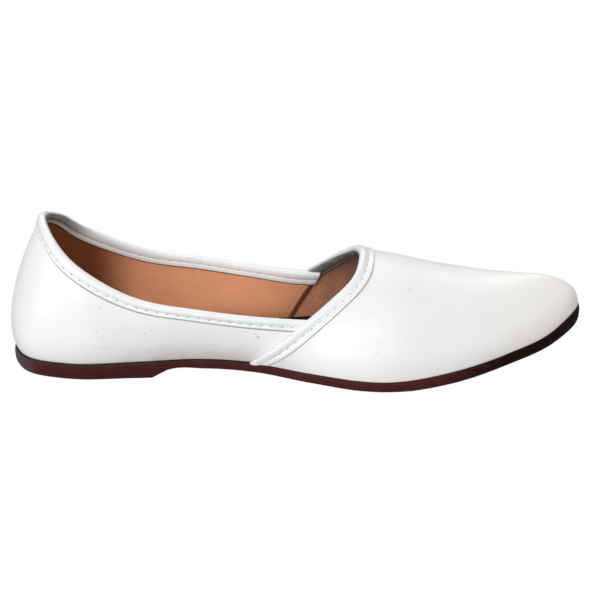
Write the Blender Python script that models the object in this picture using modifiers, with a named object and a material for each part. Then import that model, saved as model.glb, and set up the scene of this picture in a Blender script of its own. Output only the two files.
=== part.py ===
"""Mojari for the right foot: a lapped leather upper with bound edges on a thin moulded sole."""
import math

import bmesh
import bpy
import numpy as np

MM = 0.001

# Driving dimensions, in millimetres.
LENGTH = 285.0          # back of the heel to the tip of the toe
TOE_SWING = 6.0         # how far the tip of the toe leans to the inner side
SWING_START = 150.0     # where the middle line leaves straight
SIDE_CENTRE = 0.5       # middle of the widest part, off the middle line of the heel
OUTER_DROP = 2.1        # the outer side's collar is lower by this much, in front of the heel
GAP = 0.3               # clearance between pieces that touch
QUARTER_WALL = 1.8      # leather and lining of the back part
VAMP_WALL = 1.8         # leather and lining of the front part
LAP_STEP = 1.4          # how far the vamp stands out over the quarter
BINDING = 0.9           # thickness of the folded edge strips
COLLAR_BAND = 5.6       # collar strip, seen from outside
COLLAR_TURN = 5.6       # collar strip, turned in over the lining
THROAT_BAND = 7.0       # strip along the vamp's rear edge
SOLE_LIP = 0.8          # how far the sole stands out from the quarter's foot
INSOLE_INSET = 2.5      # from the outside of the quarter to the insole's edge
INSOLE = 2.0            # thickness of the insole
LAP_CLEARANCE = 3.0     # from the vamp's rear edge to the collar strip's end outside
END_CLEARANCE = 1.0     # from the quarter's front to the collar strip's end inside
BREAST_BACK = 71.5      # foot of the heel's slanted front face
BREAST_FRONT = 78.5     # top of the heel's slanted front face

# Stations down one side of the last, from the back of the heel to the tip of the toe.
# foot is where the upper meets the sole, edge is the collar and then the shoulder of the vamp,
# crown is the ridge. w is a half width. flare and lean are the wall's angles, in degrees from
# level: flare at the foot, outwards, and lean at the edge, inwards.
STATION_COLUMNS = (
    "foot_x", "foot_w", "flare", "edge_x", "edge_w", "edge_z", "lean", "crown_x", "crown_z")
STATIONS = (
    (2.5, 0.0, 58.0, 17.0, 0.0, 76.0, 59.0, 60.0, 95.0),          # heel back
    (9.5, 19.0, 57.0, 23.5, 19.5, 69.3, 65.0, 66.0, 92.0),        # heel corner
    (30.0, 27.8, 56.0, 36.0, 28.8, 58.2, 74.0, 76.0, 88.0),       # heel side
    (62.0, 27.2, 54.0, 65.0, 33.0, 45.7, 82.0, 90.0, 80.0),       # seat
    (95.0, 25.0, 54.0, 95.0, 34.2, 40.4, 84.0, 112.0, 72.0),      # waist
    (122.0, 27.5, 58.0, 121.0, 33.0, 36.6, 78.0, 134.0, 65.0),    # lap
    (152.0, 36.5, 72.0, 149.0, 31.0, 34.0, 64.0, 160.0, 59.0),    # throat
    (188.0, 45.0, 80.0, 184.0, 36.0, 35.0, 52.0, 186.0, 52.8),    # ball
    (220.0, 39.0, 80.0, 214.0, 29.5, 33.8, 50.0, 210.0, 46.8),    # forepart
    (248.0, 29.3, 80.0, 240.0, 22.0, 33.6, 48.0, 232.0, 43.0),    # toe side
    (272.0, 16.8, 80.0, 264.0, 12.8, 34.2, 44.0, 248.0, 42.2),    # toe corner
    (283.6, 0.0, 80.0, 280.6, 0.0, 35.4, 42.0, 256.0, 42.0),      # toe tip
)

# Height of the sole's upper and lower face along its length.
SOLE_COLUMNS = ("x", "top", "bottom")
SOLE = (
    (0.0, 8.0, 0.0),                    # heel back
    (40.0, 8.2, 0.0),                   # heel seat
    (BREAST_BACK, 8.9, 0.0),            # heel's front edge
    (BREAST_FRONT, 9.1, 3.6),           # start of the arch
    (98.0, 9.4, 4.4),                   # waist
    (122.0, 8.7, 3.5),                  # front of the arch
    (150.0, 6.8, 1.3),                  # rising to the ball
    (172.0, 5.8, 0.0),                  # forefoot flat begins
    (200.0, 6.3, 0.0),                  # forefoot flat ends
    (222.0, 8.6, 1.8),                  # toe spring begins
    (248.0, 13.5, 6.8),                 # toe spring
    (268.0, 18.9, 11.6),                # toe
    (285.0, 27.0, 17.8),                # toe tip
)

# Side view of the two cut edges that lap: height, and distance from the heel.
THROAT_COLUMNS = ("z", "x")
THROAT = (
    (8.0, 120.5),                       # at the sole
    (23.0, 137.2),
    (41.5, 160.3),
    (52.0, 172.8),
    (60.0, 176.8),                      # over the ridge
)
QUARTER_FRONT = (
    (8.0, 140.5),                       # at the sole
    (36.0, 157.2),                      # at the collar
)

# Rows of the two tables that the code below names.
HEEL_SIDE, SEAT, WAIST, THROAT_ROW, BALL, TOE_SIDE = 2, 3, 4, 6, 7, 9
ARCH_START, FLAT_START, FLAT_END = 3, 7, 8

# Half section of the sole: distance out from the upper's foot, share of the way down its side.
SOLE_SIDE = ((0.0, 0.0), (0.5, 0.3), (0.1, 0.75), (-1.2, 1.0))

EDGE_SHARE = 0.45       # share of a rib between the foot and the edge
FOOT_PULL = 0.20        # length of a rib's handle at the foot, as a share of its span
EDGE_PULL = 0.36        # the same below the edge
CROWN_PULL = 0.36       # the same between edge and crown
HEEL_STEPS = 64         # faces round the quarter
HEEL_CLOSENESS = 0.5    # spacing of those faces at the back of the heel, as a share of even
STRIP_FOOT = 0.05       # share of a rib below the throat strip's lower ends
FOOT_REACH = 0.15       # share of a rib within which an offset wall clears the sole
STEP = 0.002            # step for slopes on the surface
SLIDE_STEPS = 4         # steps of a move along the surface
FOOT_HALVINGS = 24      # steps of the search for a wall's foot
HALVINGS = 40           # steps of a search along the last
FINE = 0.02             # millimetres within which vertices are merged

COLOURS = {
    "upper": (0.88, 0.87, 0.85, 1.0),
    "collar_binding": (0.84, 0.86, 0.86, 1.0),
    "throat_binding": (0.84, 0.86, 0.86, 1.0),
    "insole": (0.45, 0.22, 0.12, 1.0),
    "outsole": (0.06, 0.018, 0.018, 1.0),
}
ROUGHNESS = {
    "upper": 0.45,
    "collar_binding": 0.4,
    "throat_binding": 0.4,
    "insole": 0.7,
    "outsole": 0.55,
}


def slopes(knots, values, odd=False, mirrored=True):
    """Slope at each knot of the smooth curve through the values."""
    count = len(knots)
    result = [0.0] * count
    for i in range(1, count - 1):
        before = knots[i] - knots[i - 1]
        after = knots[i + 1] - knots[i]
        rise_before = (values[i] - values[i - 1]) / before
        rise_after = (values[i + 1] - values[i]) / after
        result[i] = (rise_before * after + rise_after * before) / (before + after)
    if odd or not mirrored:
        result[0] = (values[1] - values[0]) / (knots[1] - knots[0])
        result[-1] = (values[-1] - values[-2]) / (knots[-1] - knots[-2])
    return result


def curve_value(knots, values, rates, at):
    """Value at one place on a smooth curve given by its knots, values and slopes."""
    i = 0
    while i < len(knots) - 2 and at > knots[i + 1]:
        i += 1
    span = knots[i + 1] - knots[i]
    s = (at - knots[i]) / span
    return (values[i] * (1 + 2 * s) * (1 - s) ** 2 + rates[i] * span * s * (1 - s) ** 2
            + values[i + 1] * s * s * (3 - 2 * s) + rates[i + 1] * span * s * s * (s - 1))


def table_curve(columns, rows, knot_column):
    """Smooth curves through a table, one for each other column, read by the knot column."""
    place = columns.index(knot_column)
    knots = [row[place] for row in rows]
    curves = {}
    for i, name in enumerate(columns):
        if i != place:
            values = [row[i] for row in rows]
            curves[name] = (knots, values, slopes(knots, values, mirrored=False))
    return curves


def station_knots():
    """Places of the stations along the foot line, from 0 at the heel to 1 at the toe."""
    x = STATION_COLUMNS.index("foot_x")
    w = STATION_COLUMNS.index("foot_w")
    run = [0.0]
    for a, b in zip(STATIONS, STATIONS[1:]):
        run.append(run[-1] + math.hypot(b[x] - a[x], b[w] - a[w]))
    return [value / run[-1] for value in run]


KNOTS = station_knots()
TRACKS = {}
for index, column in enumerate(STATION_COLUMNS):
    heights = [row[index] for row in STATIONS]
    TRACKS[column] = (KNOTS, heights, slopes(KNOTS, heights, odd=column.endswith("_w")))
SOLE_CURVES = table_curve(SOLE_COLUMNS, SOLE, "x")
THROAT_CURVE = table_curve(THROAT_COLUMNS, THROAT, "z")["x"]
FRONT_CURVE = table_curve(THROAT_COLUMNS, QUARTER_FRONT, "z")["x"]


def track(name, t):
    """One column of the station table, read anywhere between heel (0) and toe (1)."""
    return curve_value(*TRACKS[name], t)


def sole_top(x):
    return curve_value(*SOLE_CURVES["top"], x)


def sole_bottom(x):
    """Lower face of the sole: level under heel and forefoot, with a straight heel breast."""
    if x <= BREAST_BACK:
        return 0.0
    if x <= BREAST_FRONT:
        rise = SOLE[ARCH_START][SOLE_COLUMNS.index("bottom")]
        return rise * (x - BREAST_BACK) / (BREAST_FRONT - BREAST_BACK)
    if SOLE[FLAT_START][0] <= x <= SOLE[FLAT_END][0]:
        return 0.0
    return max(0.0, curve_value(*SOLE_CURVES["bottom"], x))


def middle(x):
    """Sideways place of the shoe's middle line."""
    share = max(0.0, (x - SWING_START) / (LENGTH - SWING_START))
    return TOE_SWING * share * share


def fold(t, side):
    """Bring a place past the heel or the toe back to the other side."""
    if t < 0.0:
        return -t, -side
    if t > 1.0:
        return 2.0 - t, -side
    return t, side


def outward(t):
    """Outward direction of the foot line in plan, as x and half width."""
    low, high = max(t - STEP, 0.0), min(t + STEP, 1.0)
    dx = track("foot_x", high) - track("foot_x", low)
    dw = track("foot_w", high) - track("foot_w", low)
    if t < STEP:
        return -1.0, 0.0
    if t > 1.0 - STEP:
        return 1.0, 0.0
    size = math.hypot(dx, dw)
    return -dw / size, dx / size


def bezier(a, b, c, d, s):
    r = 1.0 - s
    return a * r ** 3 + b * 3 * r * r * s + c * 3 * r * s * s + d * s ** 3


def share_between(value, start, end):
    """Share of the way from start to end, no less than 0 and no more than 1."""
    return min(max((value - start) / (end - start), 0.0), 1.0)


def collar_drop(t, side):
    """How much lower the outer side's collar is. It sinks beside the heel and ends at the ball."""
    sunk = share_between(t, KNOTS[HEEL_SIDE], KNOTS[SEAT])
    ended = share_between(t, KNOTS[THROAT_ROW], KNOTS[BALL])
    return OUTER_DROP * (0.5 - 0.5 * side) * sunk * sunk * (3.0 - 2.0 * sunk) * (1.0 - ended)


def last_point(t, v, side):
    """Point of the last. t runs from heel to toe, v from the foot over the edge to the crown."""
    t, side = fold(t, side)
    if v > 1.0:
        v, side = 2.0 - v, -side
    nx, nw = outward(t)
    foot_x = track("foot_x", t)
    foot = np.array((foot_x, track("foot_w", t), sole_top(foot_x) + GAP))
    edge_z = track("edge_z", t) - collar_drop(t, side)
    edge = np.array((track("edge_x", t), track("edge_w", t), edge_z))
    lean = math.radians(track("lean", t))
    up_edge = np.array((-nx * math.cos(lean), -nw * math.cos(lean), math.sin(lean)))
    if v <= EDGE_SHARE:
        flare = math.radians(track("flare", t))
        up_foot = np.array((nx * math.cos(flare), nw * math.cos(flare), math.sin(flare)))
        span = np.linalg.norm(edge - foot)
        low, high = foot + up_foot * FOOT_PULL * span, edge - up_edge * EDGE_PULL * span
        point = bezier(foot, low, high, edge, v / EDGE_SHARE)
    else:
        crown = np.array((track("crown_x", t), 0.0, track("crown_z", t)))
        pull = CROWN_PULL * np.linalg.norm(crown - edge)
        level = np.array((nx, nw, 0.0))
        share = (v - EDGE_SHARE) / (1.0 - EDGE_SHARE)
        point = bezier(edge, edge + up_edge * pull, crown + level * pull, crown, share)
    return np.array((point[0], middle(point[0]) + side * point[1], point[2]))


def surface_slopes(t, v, side):
    """Slopes of the last along t and v."""
    v = min(max(v, STEP), 1.0 - 5 * STEP)
    along = (last_point(t + STEP, v, side) - last_point(t - STEP, v, side)) / (2 * STEP)
    up = (last_point(t, v + STEP, side) - last_point(t, v - STEP, side)) / (2 * STEP)
    return along, up


def normal(t, v, side):
    """Outward direction of the last's surface."""
    along, up = surface_slopes(t, v, side)
    across = np.cross(up, along) * side
    return across / np.linalg.norm(across)


def skin(t, v, side, offset):
    """Point at a distance outside the last, moved up the wall where it would reach the sole."""
    low, high = v, v + FOOT_REACH
    at = v
    for _ in range(FOOT_HALVINGS):
        point = last_point(t, at, side) + normal(t, at, side) * offset
        if point[2] >= sole_top(point[0]) + GAP:
            if at == v:
                break
            high = at
        else:
            low = at
        at = (low + high) / 2
    return point


def place_on_edge(line, v, side, offset):
    """Where a cut edge, given in side view, crosses the line at v round a wall off the last."""
    low, high = KNOTS[WAIST], KNOTS[TOE_SIDE]
    for _ in range(HALVINGS):
        t = (low + high) / 2
        point = skin(t, v, side, offset)
        if point[0] < curve_value(*line, point[2]):
            low = t
        else:
            high = t
    return t


def place_at(x):
    """Station of the foot line at a distance from the heel."""
    low, high = 0.0, 1.0
    for _ in range(HALVINGS):
        t = (low + high) / 2
        if track("foot_x", t) < x:
            low = t
        else:
            high = t
    return t


def to_world(point):
    """From millimetres off the heel to metres about the middle of the shoe."""
    return ((point[0] - LENGTH / 2) * MM, (point[1] - SIDE_CENTRE) * MM, point[2] * MM)


def mapped_grid(columns, rows, place):
    """A grid of faces whose corner in column i and row j sits at place(i, j)."""
    bm = bmesh.new()
    bmesh.ops.create_grid(bm, x_segments=columns, y_segments=rows, size=1.0)
    for vertex in bm.verts:
        i = round((vertex.co.x + 1.0) / 2.0 * columns)
        j = round((vertex.co.y + 1.0) / 2.0 * rows)
        vertex.co = to_world(place(i, j))
    bmesh.ops.remove_doubles(bm, verts=bm.verts, dist=FINE * MM)
    bmesh.ops.recalc_face_normals(bm, faces=bm.faces)
    return bm


def make_object(name, bm, collection):
    """A named, smoothly shaded object from a bmesh."""
    mesh = bpy.data.meshes.new(name)
    bm.to_mesh(mesh)
    bm.free()
    mesh.shade_smooth()
    piece = bpy.data.objects.new(name, mesh)
    collection.objects.link(piece)
    return piece


def finish(piece, name):
    """Give a piece its material."""
    material = bpy.data.materials.new(name)
    material.use_nodes = True
    shader = material.node_tree.nodes["Principled BSDF"]
    shader.inputs["Base Color"].default_value = COLOURS[name]
    shader.inputs["Roughness"].default_value = ROUGHNESS[name]
    shader.inputs["Metallic"].default_value = 0.0
    piece.data.materials.append(material)


def thicken(piece, thickness, offset):
    """Turn an open surface into a wall. offset is -1 inwards and 1 outwards."""
    wall = piece.modifiers.new("wall", "SOLIDIFY")
    wall.thickness = thickness * MM
    wall.offset = offset
    wall.use_even_offset = True


def spread(count, start, end):
    """Evenly spaced values from start to end."""
    return [start + (end - start) * i / count for i in range(count + 1)]


def points_out(bm, centre):
    """Whether most of a surface's faces look away from a place inside it."""
    score = 0.0
    for face in bm.faces:
        away = face.calc_center_median() - centre
        score += face.calc_area() * face.normal.dot(away.normalized())
    return score > 0.0


def oriented(bm):
    """Turn an open surface so that its faces look out of the shoe."""
    total = sum((v.co for v in bm.verts), start=bm.verts[:1][0].co * 0.0)
    if not points_out(bm, total / len(bm.verts)):
        bmesh.ops.reverse_faces(bm, faces=bm.faces)
    return bm


def around_heel(i):
    """Side and share of the way forward for step i round the heel, closer together at the back."""
    share = 2.0 * i / HEEL_STEPS - 1.0
    side = 1 if share > 0 else -1
    return side, abs(share) * (HEEL_CLOSENESS + (1.0 - HEEL_CLOSENESS) * abs(share))


def quarter_surface():
    """Back part of the upper, from one lap round the heel to the other."""
    height = 8
    rows = spread(height, 0.0, EDGE_SHARE)
    ends = {}
    for side in (-1, 1):
        ends[side] = [place_on_edge(FRONT_CURVE, v, side, 0.0) for v in rows]

    def place(i, j):
        side, share = around_heel(i)
        return skin(share * ends[side][j], rows[j], side, 0.0)

    return oriented(mapped_grid(HEEL_STEPS, height, place))


def vamp_surface():
    """Front part of the upper, from its rear edge to the toe, over both sides."""
    low, high, along = 7, 7, 26
    heights = spread(low, 0.0, EDGE_SHARE) + spread(high, EDGE_SHARE, 1.0)[1:]
    across = [(v, -1) for v in heights] + [(v, 1) for v in reversed(heights[:-1])]
    starts = [place_on_edge(THROAT_CURVE, v, side, LAP_STEP) for v, side in across]

    def place(i, j):
        v, side = across[j]
        t = starts[j] + (1.0 - starts[j]) * i / along
        return skin(t, v, side, LAP_STEP)

    return oriented(mapped_grid(along, len(across) - 1, place))


def make_upper(parts, cutters):
    """The quarter and the vamp, stitched together into one hollow wall."""
    upper = make_object("upper", quarter_surface(), parts)
    thicken(upper, QUARTER_WALL, -1.0)
    vamp = make_object("vamp_wall", vamp_surface(), cutters)
    thicken(vamp, VAMP_WALL, -1.0)
    vamp.hide_render = True
    vamp.display_type = "WIRE"
    join = upper.modifiers.new("lap", "BOOLEAN")
    join.operation = "UNION"
    join.object = vamp
    finish(upper, "upper")


def slide(t, v, side, direction, distance):
    """Move along the last's surface in a direction."""
    for _ in range(SLIDE_STEPS):
        along, up = surface_slopes(t, v, side)
        basis = np.column_stack((along, up))
        move = np.linalg.lstsq(basis, direction * distance / SLIDE_STEPS, rcond=None)[0]
        t, v = t + move[0], v + move[1]
    return t, v


def strip_solid(count, profile, place):
    """A folded strip: its closed profile carried along count steps, pinched shut at both ends.

    The profile lists the strip's inner face and then its outer face backwards.
    """
    last = len(profile) - 1

    def ring(i, j):
        j %= len(profile)
        if 0 < i < count + 2:
            return place(i - 1, profile[j])
        step = min(max(i - 1, 0), count)
        return (place(step, profile[j]) + place(step, profile[last - j])) / 2

    return mapped_grid(count + 2, len(profile), ring)


def collar_rise(t, side):
    """Direction up the quarter, square to its upper edge."""
    along, _ = surface_slopes(t, EDGE_SHARE, side)
    rise = np.cross(normal(t, EDGE_SHARE, side), along)
    return rise * math.copysign(1.0, rise[2]) / np.linalg.norm(rise)


def collar_end(side, down, outside):
    """Where the collar strip stops: at the vamp outside, at the quarter's front inside."""
    edge, clearance, wall = FRONT_CURVE, END_CLEARANCE, 0.0
    if outside:
        edge, clearance, wall = THROAT_CURVE, LAP_CLEARANCE, LAP_STEP
    t = place_on_edge(edge, EDGE_SHARE, side, wall)
    pace = np.linalg.norm(surface_slopes(t, EDGE_SHARE, side)[0])
    if down > 0.0:
        at, v = slide(t, EDGE_SHARE, side, collar_rise(t, side), -down)
        t += place_on_edge(edge, v, side, wall) - at
    return t - clearance / pace


def make_collar_binding(parts):
    """Strip folded over the quarter's upper edge, from one lap round the heel to the other."""
    under, over = -QUARTER_WALL - GAP, GAP
    inner_face = (
        (COLLAR_BAND, over), (COLLAR_BAND / 2, over), (-GAP, over),
        (-GAP, under), (COLLAR_TURN / 2, under), (COLLAR_TURN, under))
    under, over, top = under - BINDING, over + BINDING, -GAP - BINDING
    outer_face = (
        (COLLAR_TURN, under), (COLLAR_TURN / 2, under), (top, under),
        (top, over), (COLLAR_BAND / 2, over), (COLLAR_BAND, over))

    def place(i, corner):
        down, offset = corner
        side, share = around_heel(i)
        t = share * collar_end(side, down, offset > 0.0)
        rise = collar_rise(t, side)
        if down < 0.0:
            lift = normal(t, EDGE_SHARE, side) * offset - rise * down
            return last_point(t, EDGE_SHARE, side) + lift
        at, v = slide(t, EDGE_SHARE, side, rise, -down)
        return skin(at, v, side, offset)

    bm = strip_solid(HEEL_STEPS, inner_face + outer_face, place)
    finish(make_object("collar_binding", bm, parts), "collar_binding")


def make_throat_binding(parts):
    """Strip folded over the vamp's rear edge, from the sole over the instep to the sole."""
    low, high = 12, 12
    heights = spread(low, STRIP_FOOT, EDGE_SHARE) + spread(high, EDGE_SHARE, 1.0)[1:]
    across = [(v, -1) for v in heights] + [(v, 1) for v in reversed(heights[:-1])]
    places = [place_on_edge(THROAT_CURVE, v, side, LAP_STEP) for v, side in across]
    line = [last_point(t, v, side) for t, (v, side) in zip(places, across)]
    face, back = LAP_STEP + GAP, -GAP
    inner_face = ((THROAT_BAND, face), (THROAT_BAND / 2, face), (back, face), (back, GAP))
    face, back = face + BINDING, back - BINDING
    outer_face = ((back, GAP), (back, face), (THROAT_BAND / 2, face), (THROAT_BAND, face))

    def place(i, corner):
        forward, offset = corner
        v, side = across[i]
        t = places[i]
        run = line[min(i + 1, len(line) - 1)] - line[max(i - 1, 0)]
        ahead = np.cross(run, normal(t, v, side))
        ahead *= math.copysign(1.0, ahead[0]) / np.linalg.norm(ahead)
        at, height = slide(t, v, side, ahead, forward)
        return skin(at, max(height, 0.0), side, offset)

    bm = strip_solid(len(across) - 1, inner_face + outer_face, place)
    finish(make_object("throat_binding", bm, parts), "throat_binding")


def plan_point(t, side, out):
    """Point of the foot line moved out in plan, as x and y."""
    nx, nw = outward(t)
    x = track("foot_x", t) + nx * out
    w = max(track("foot_w", t) + nw * out, 0.0)
    return x, middle(x) + side * w


def loop_solid(stations, profile, height):
    """A closed solid under the foot line: a half section carried down both sides."""
    ring = [(step, -1) for step in profile] + [(step, 1) for step in reversed(profile)]

    def place(i, j):
        (out, share), side = ring[j % len(ring)]
        x, y = plan_point(stations[i], side, out)
        return np.array((x, y, height(x, share)))

    return mapped_grid(len(stations) - 1, len(ring), place)


def make_outsole(parts):
    """Moulded sole with its low heel, arch and toe spring in one piece."""
    stations = spread(56, 0.0, 1.0) + [place_at(BREAST_BACK), place_at(BREAST_FRONT)]
    profile = [(out + SOLE_LIP, share) for out, share in SOLE_SIDE]

    def height(x, share):
        return sole_top(x) * (1.0 - share) + sole_bottom(x) * share

    piece = make_object("outsole", loop_solid(sorted(stations), profile, height), parts)
    finish(piece, "outsole")


def make_insole(parts):
    """Leather sock that lies on the sole inside the upper."""
    profile = [(-INSOLE_INSET, 0.0), (-INSOLE_INSET, 1.0)]

    def height(x, share):
        return sole_top(x) + GAP + INSOLE * (1.0 - share)

    piece = make_object("insole", loop_solid(spread(48, 0.0, 1.0), profile, height), parts)
    finish(piece, "insole")


def new_collection(name):
    collection = bpy.data.collections.new(name)
    bpy.context.scene.collection.children.link(collection)
    return collection


def main():
    for item in list(bpy.data.objects):
        bpy.data.objects.remove(item, do_unlink=True)
    parts = new_collection("mojari")
    cutters = new_collection("mojari_cutters")
    make_outsole(parts)
    make_insole(parts)
    make_upper(parts, cutters)
    make_collar_binding(parts)
    make_throat_binding(parts)


if __name__ == "__main__":
    main()
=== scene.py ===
"""Looks of a mojari: white leather, tan lining, bound edges and a thin dark sole on a pale floor."""
import functools
import math

import bmesh
import bpy
import numpy as np
from mathutils import Matrix, Vector


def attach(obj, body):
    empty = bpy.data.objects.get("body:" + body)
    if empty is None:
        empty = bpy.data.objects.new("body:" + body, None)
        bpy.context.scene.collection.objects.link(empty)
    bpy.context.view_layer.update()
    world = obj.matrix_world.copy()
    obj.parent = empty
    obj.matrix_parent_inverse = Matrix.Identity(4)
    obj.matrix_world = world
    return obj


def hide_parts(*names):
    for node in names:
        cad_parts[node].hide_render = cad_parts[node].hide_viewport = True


bl_info = {
    "name": "Mojari",
    "version": (1, 0, 0),
    "blender": (4, 5, 0),
    "location": "View3D > Sidebar > Mojari",
    "description": "Leather, lining, strips, stitches and sole of a slip-on mojari, with its studio",
    "category": "Object",
}

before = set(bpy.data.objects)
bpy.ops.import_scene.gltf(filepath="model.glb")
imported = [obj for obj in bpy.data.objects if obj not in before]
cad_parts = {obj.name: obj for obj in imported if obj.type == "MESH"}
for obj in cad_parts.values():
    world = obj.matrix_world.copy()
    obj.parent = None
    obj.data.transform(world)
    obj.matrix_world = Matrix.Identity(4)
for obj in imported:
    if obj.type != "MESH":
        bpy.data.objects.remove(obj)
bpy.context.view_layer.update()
BODY = "root"
MM = 0.001

# The last, in millimetres from the back of the heel: the same driving sizes as the solids.
LENGTH = 285.0          # back of the heel to the tip of the toe
TOE_SWING = 6.0         # how far the tip of the toe leans to the inner side
SWING_START = 150.0     # where the middle line leaves straight
SIDE_CENTRE = 0.5       # middle of the widest part, off the middle line of the heel
OUTER_DROP = 2.1        # the outer side's collar is lower by this much, in front of the heel
GAP = 0.3               # clearance over the sole
LAP_STEP = 1.4          # how far the vamp stands out over the quarter
BREAST_BACK = 71.5      # foot of the heel's slanted front face
BREAST_FRONT = 78.5     # top of the heel's slanted front face

# Stations down one side, from the back of the heel to the tip of the toe. foot is where the upper
# meets the sole, edge is the collar and then the vamp's shoulder, crown is the ridge. w is a half
# width. flare and lean are the wall's angles from level, in degrees, at the foot and at the edge.
STATION_COLUMNS = (
    "foot_x", "foot_w", "flare", "edge_x", "edge_w", "edge_z", "lean", "crown_x", "crown_z")
STATIONS = (
    (2.5, 0.0, 58.0, 17.0, 0.0, 76.0, 59.0, 60.0, 95.0),          # heel back
    (9.5, 19.0, 57.0, 23.5, 19.5, 69.3, 65.0, 66.0, 92.0),        # heel corner
    (30.0, 27.8, 56.0, 36.0, 28.8, 58.2, 74.0, 76.0, 88.0),       # heel side
    (62.0, 27.2, 54.0, 65.0, 33.0, 45.7, 82.0, 90.0, 80.0),       # seat
    (95.0, 25.0, 54.0, 95.0, 34.2, 40.4, 84.0, 112.0, 72.0),      # waist
    (122.0, 27.5, 58.0, 121.0, 33.0, 36.6, 78.0, 134.0, 65.0),    # lap
    (152.0, 36.5, 72.0, 149.0, 31.0, 34.0, 64.0, 160.0, 59.0),    # throat
    (188.0, 45.0, 80.0, 184.0, 36.0, 35.0, 52.0, 186.0, 52.8),    # ball
    (220.0, 39.0, 80.0, 214.0, 29.5, 33.8, 50.0, 210.0, 46.8),    # forepart
    (248.0, 29.3, 80.0, 240.0, 22.0, 33.6, 48.0, 232.0, 43.0),    # toe side
    (272.0, 16.8, 80.0, 264.0, 12.8, 34.2, 44.0, 248.0, 42.2),    # toe corner
    (283.6, 0.0, 80.0, 280.6, 0.0, 35.4, 42.0, 256.0, 42.0),      # toe tip
)

# Height of the sole's upper and lower face along its length.
SOLE_COLUMNS = ("x", "top", "bottom")
SOLE = (
    (0.0, 8.0, 0.0),                    # heel back
    (40.0, 8.2, 0.0),                   # heel seat
    (BREAST_BACK, 8.9, 0.0),            # heel's front edge
    (BREAST_FRONT, 9.1, 3.6),           # start of the arch
    (98.0, 9.4, 4.4),                   # waist
    (122.0, 8.7, 3.5),                  # front of the arch
    (150.0, 6.8, 1.3),                  # rising to the ball
    (172.0, 5.8, 0.0),                  # forefoot flat begins
    (200.0, 6.3, 0.0),                  # forefoot flat ends
    (222.0, 8.6, 1.8),                  # toe spring begins
    (248.0, 13.5, 6.8),                 # toe spring
    (268.0, 18.9, 11.6),                # toe
    (285.0, 27.0, 17.8),                # toe tip
)

# Side view of the two cut edges that lap: height, and distance from the heel.
CUT_COLUMNS = ("z", "x")
THROAT = (
    (8.0, 120.5),                       # at the sole
    (23.0, 137.2),
    (41.5, 160.3),
    (52.0, 172.8),
    (60.0, 176.8),                      # over the ridge
)
QUARTER_FRONT = (
    (8.0, 140.5),                       # at the sole
    (36.0, 157.2),                      # at the collar
)

# Rows of the two tables that the code below names.
HEEL_SIDE, SEAT, WAIST, THROAT_ROW, BALL, TOE_SIDE = 2, 3, 4, 6, 7, 9
ARCH_START, FLAT_START, FLAT_END = 3, 7, 8

EDGE_SHARE = 0.45       # share of a rib between the foot and the edge
FOOT_PULL = 0.20        # length of a rib's handle at the foot, as a share of its span
EDGE_PULL = 0.36        # the same below the edge
CROWN_PULL = 0.36       # the same between edge and crown
FOOT_REACH = 0.15       # share of a rib within which an offset wall clears the sole
STEP = 0.002            # step for slopes on the surface
SLIDE_STEPS = 8         # steps of a move along the surface
FINE = 0.02             # millimetres within which vertices are merged
HALVINGS = 26           # steps of a search along the last
FOOT_HALVINGS = 10      # steps of the search for a wall's foot

# Creases of the vamp: distance of the middle from the heel, height, side, half length, half width, rise
# along the length, and depth. A low ridge runs along both sides of each.
CREASES = (
    (193.0, 31.0, -1, 15.0, 1.6, 0.03, 0.16),
    (205.0, 27.5, -1, 12.0, 1.4, -0.02, 0.13),
    (200.0, 35.5, -1, 10.0, 1.5, 0.05, 0.10),
    (214.0, 32.0, -1, 9.0, 1.5, -0.06, 0.09),
    (186.0, 24.0, -1, 12.0, 2.0, 0.04, 0.10),
    (196.0, 30.0, 1, 15.0, 1.7, 0.02, 0.15),
    (207.0, 25.5, 1, 12.0, 1.6, -0.03, 0.12),
    (188.0, 36.0, 1, 11.0, 1.8, 0.05, 0.10),
)
RIDGE_AWAY = 2.0        # from a crease's middle to its ridges, in half widths
RIDGE_SHARE = 0.45      # height of the ridges as a share of the crease's depth

# Specks and faint streaks on the near side of the leather: distance from the heel, height, radius,
# how much longer than high, and how dark.
SPECKS = (
    (47.0, 40.5, 0.60, 1.0, 0.75),
    (45.1, 27.6, 0.60, 1.2, 0.35),
    (68.8, 26.7, 0.50, 1.0, 0.70),
    (124.3, 24.8, 1.05, 1.2, 0.50),
    (123.2, 26.4, 0.70, 1.6, 0.25),
    (178.7, 38.0, 0.60, 1.0, 0.14),
    (182.5, 20.9, 0.70, 1.5, 0.14),
    (199.0, 45.5, 0.60, 1.0, 0.30),
    (50.0, 18.6, 1.10, 8.0, 0.08),
    (63.0, 17.2, 1.20, 7.0, 0.07),
    (204.0, 24.0, 0.80, 4.0, 0.07),
)


def slopes(knots, values, free_ends):
    """Slope at each knot of the smooth curve through the values. Ends that aren't free are level."""
    rise = np.diff(values) / np.diff(knots)
    span = np.diff(knots)
    result = np.zeros(len(knots))
    result[1:-1] = (rise[:-1] * span[1:] + rise[1:] * span[:-1]) / (span[:-1] + span[1:])
    if free_ends:
        result[0] = rise[0]
        result[-1] = rise[-1]
    return result


def read_curve(track, at):
    """Values at some places on a smooth curve given by its knots, values and slopes."""
    knots, values, rates = track
    i = np.clip(np.searchsorted(knots, at, side="left") - 1, 0, len(knots) - 2)
    span = knots[i + 1] - knots[i]
    s = (at - knots[i]) / span
    return (values[i] * (1 + 2 * s) * (1 - s) ** 2 + rates[i] * span * s * (1 - s) ** 2
            + values[i + 1] * s * s * (3 - 2 * s) + rates[i + 1] * span * s * s * (s - 1))


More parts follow.
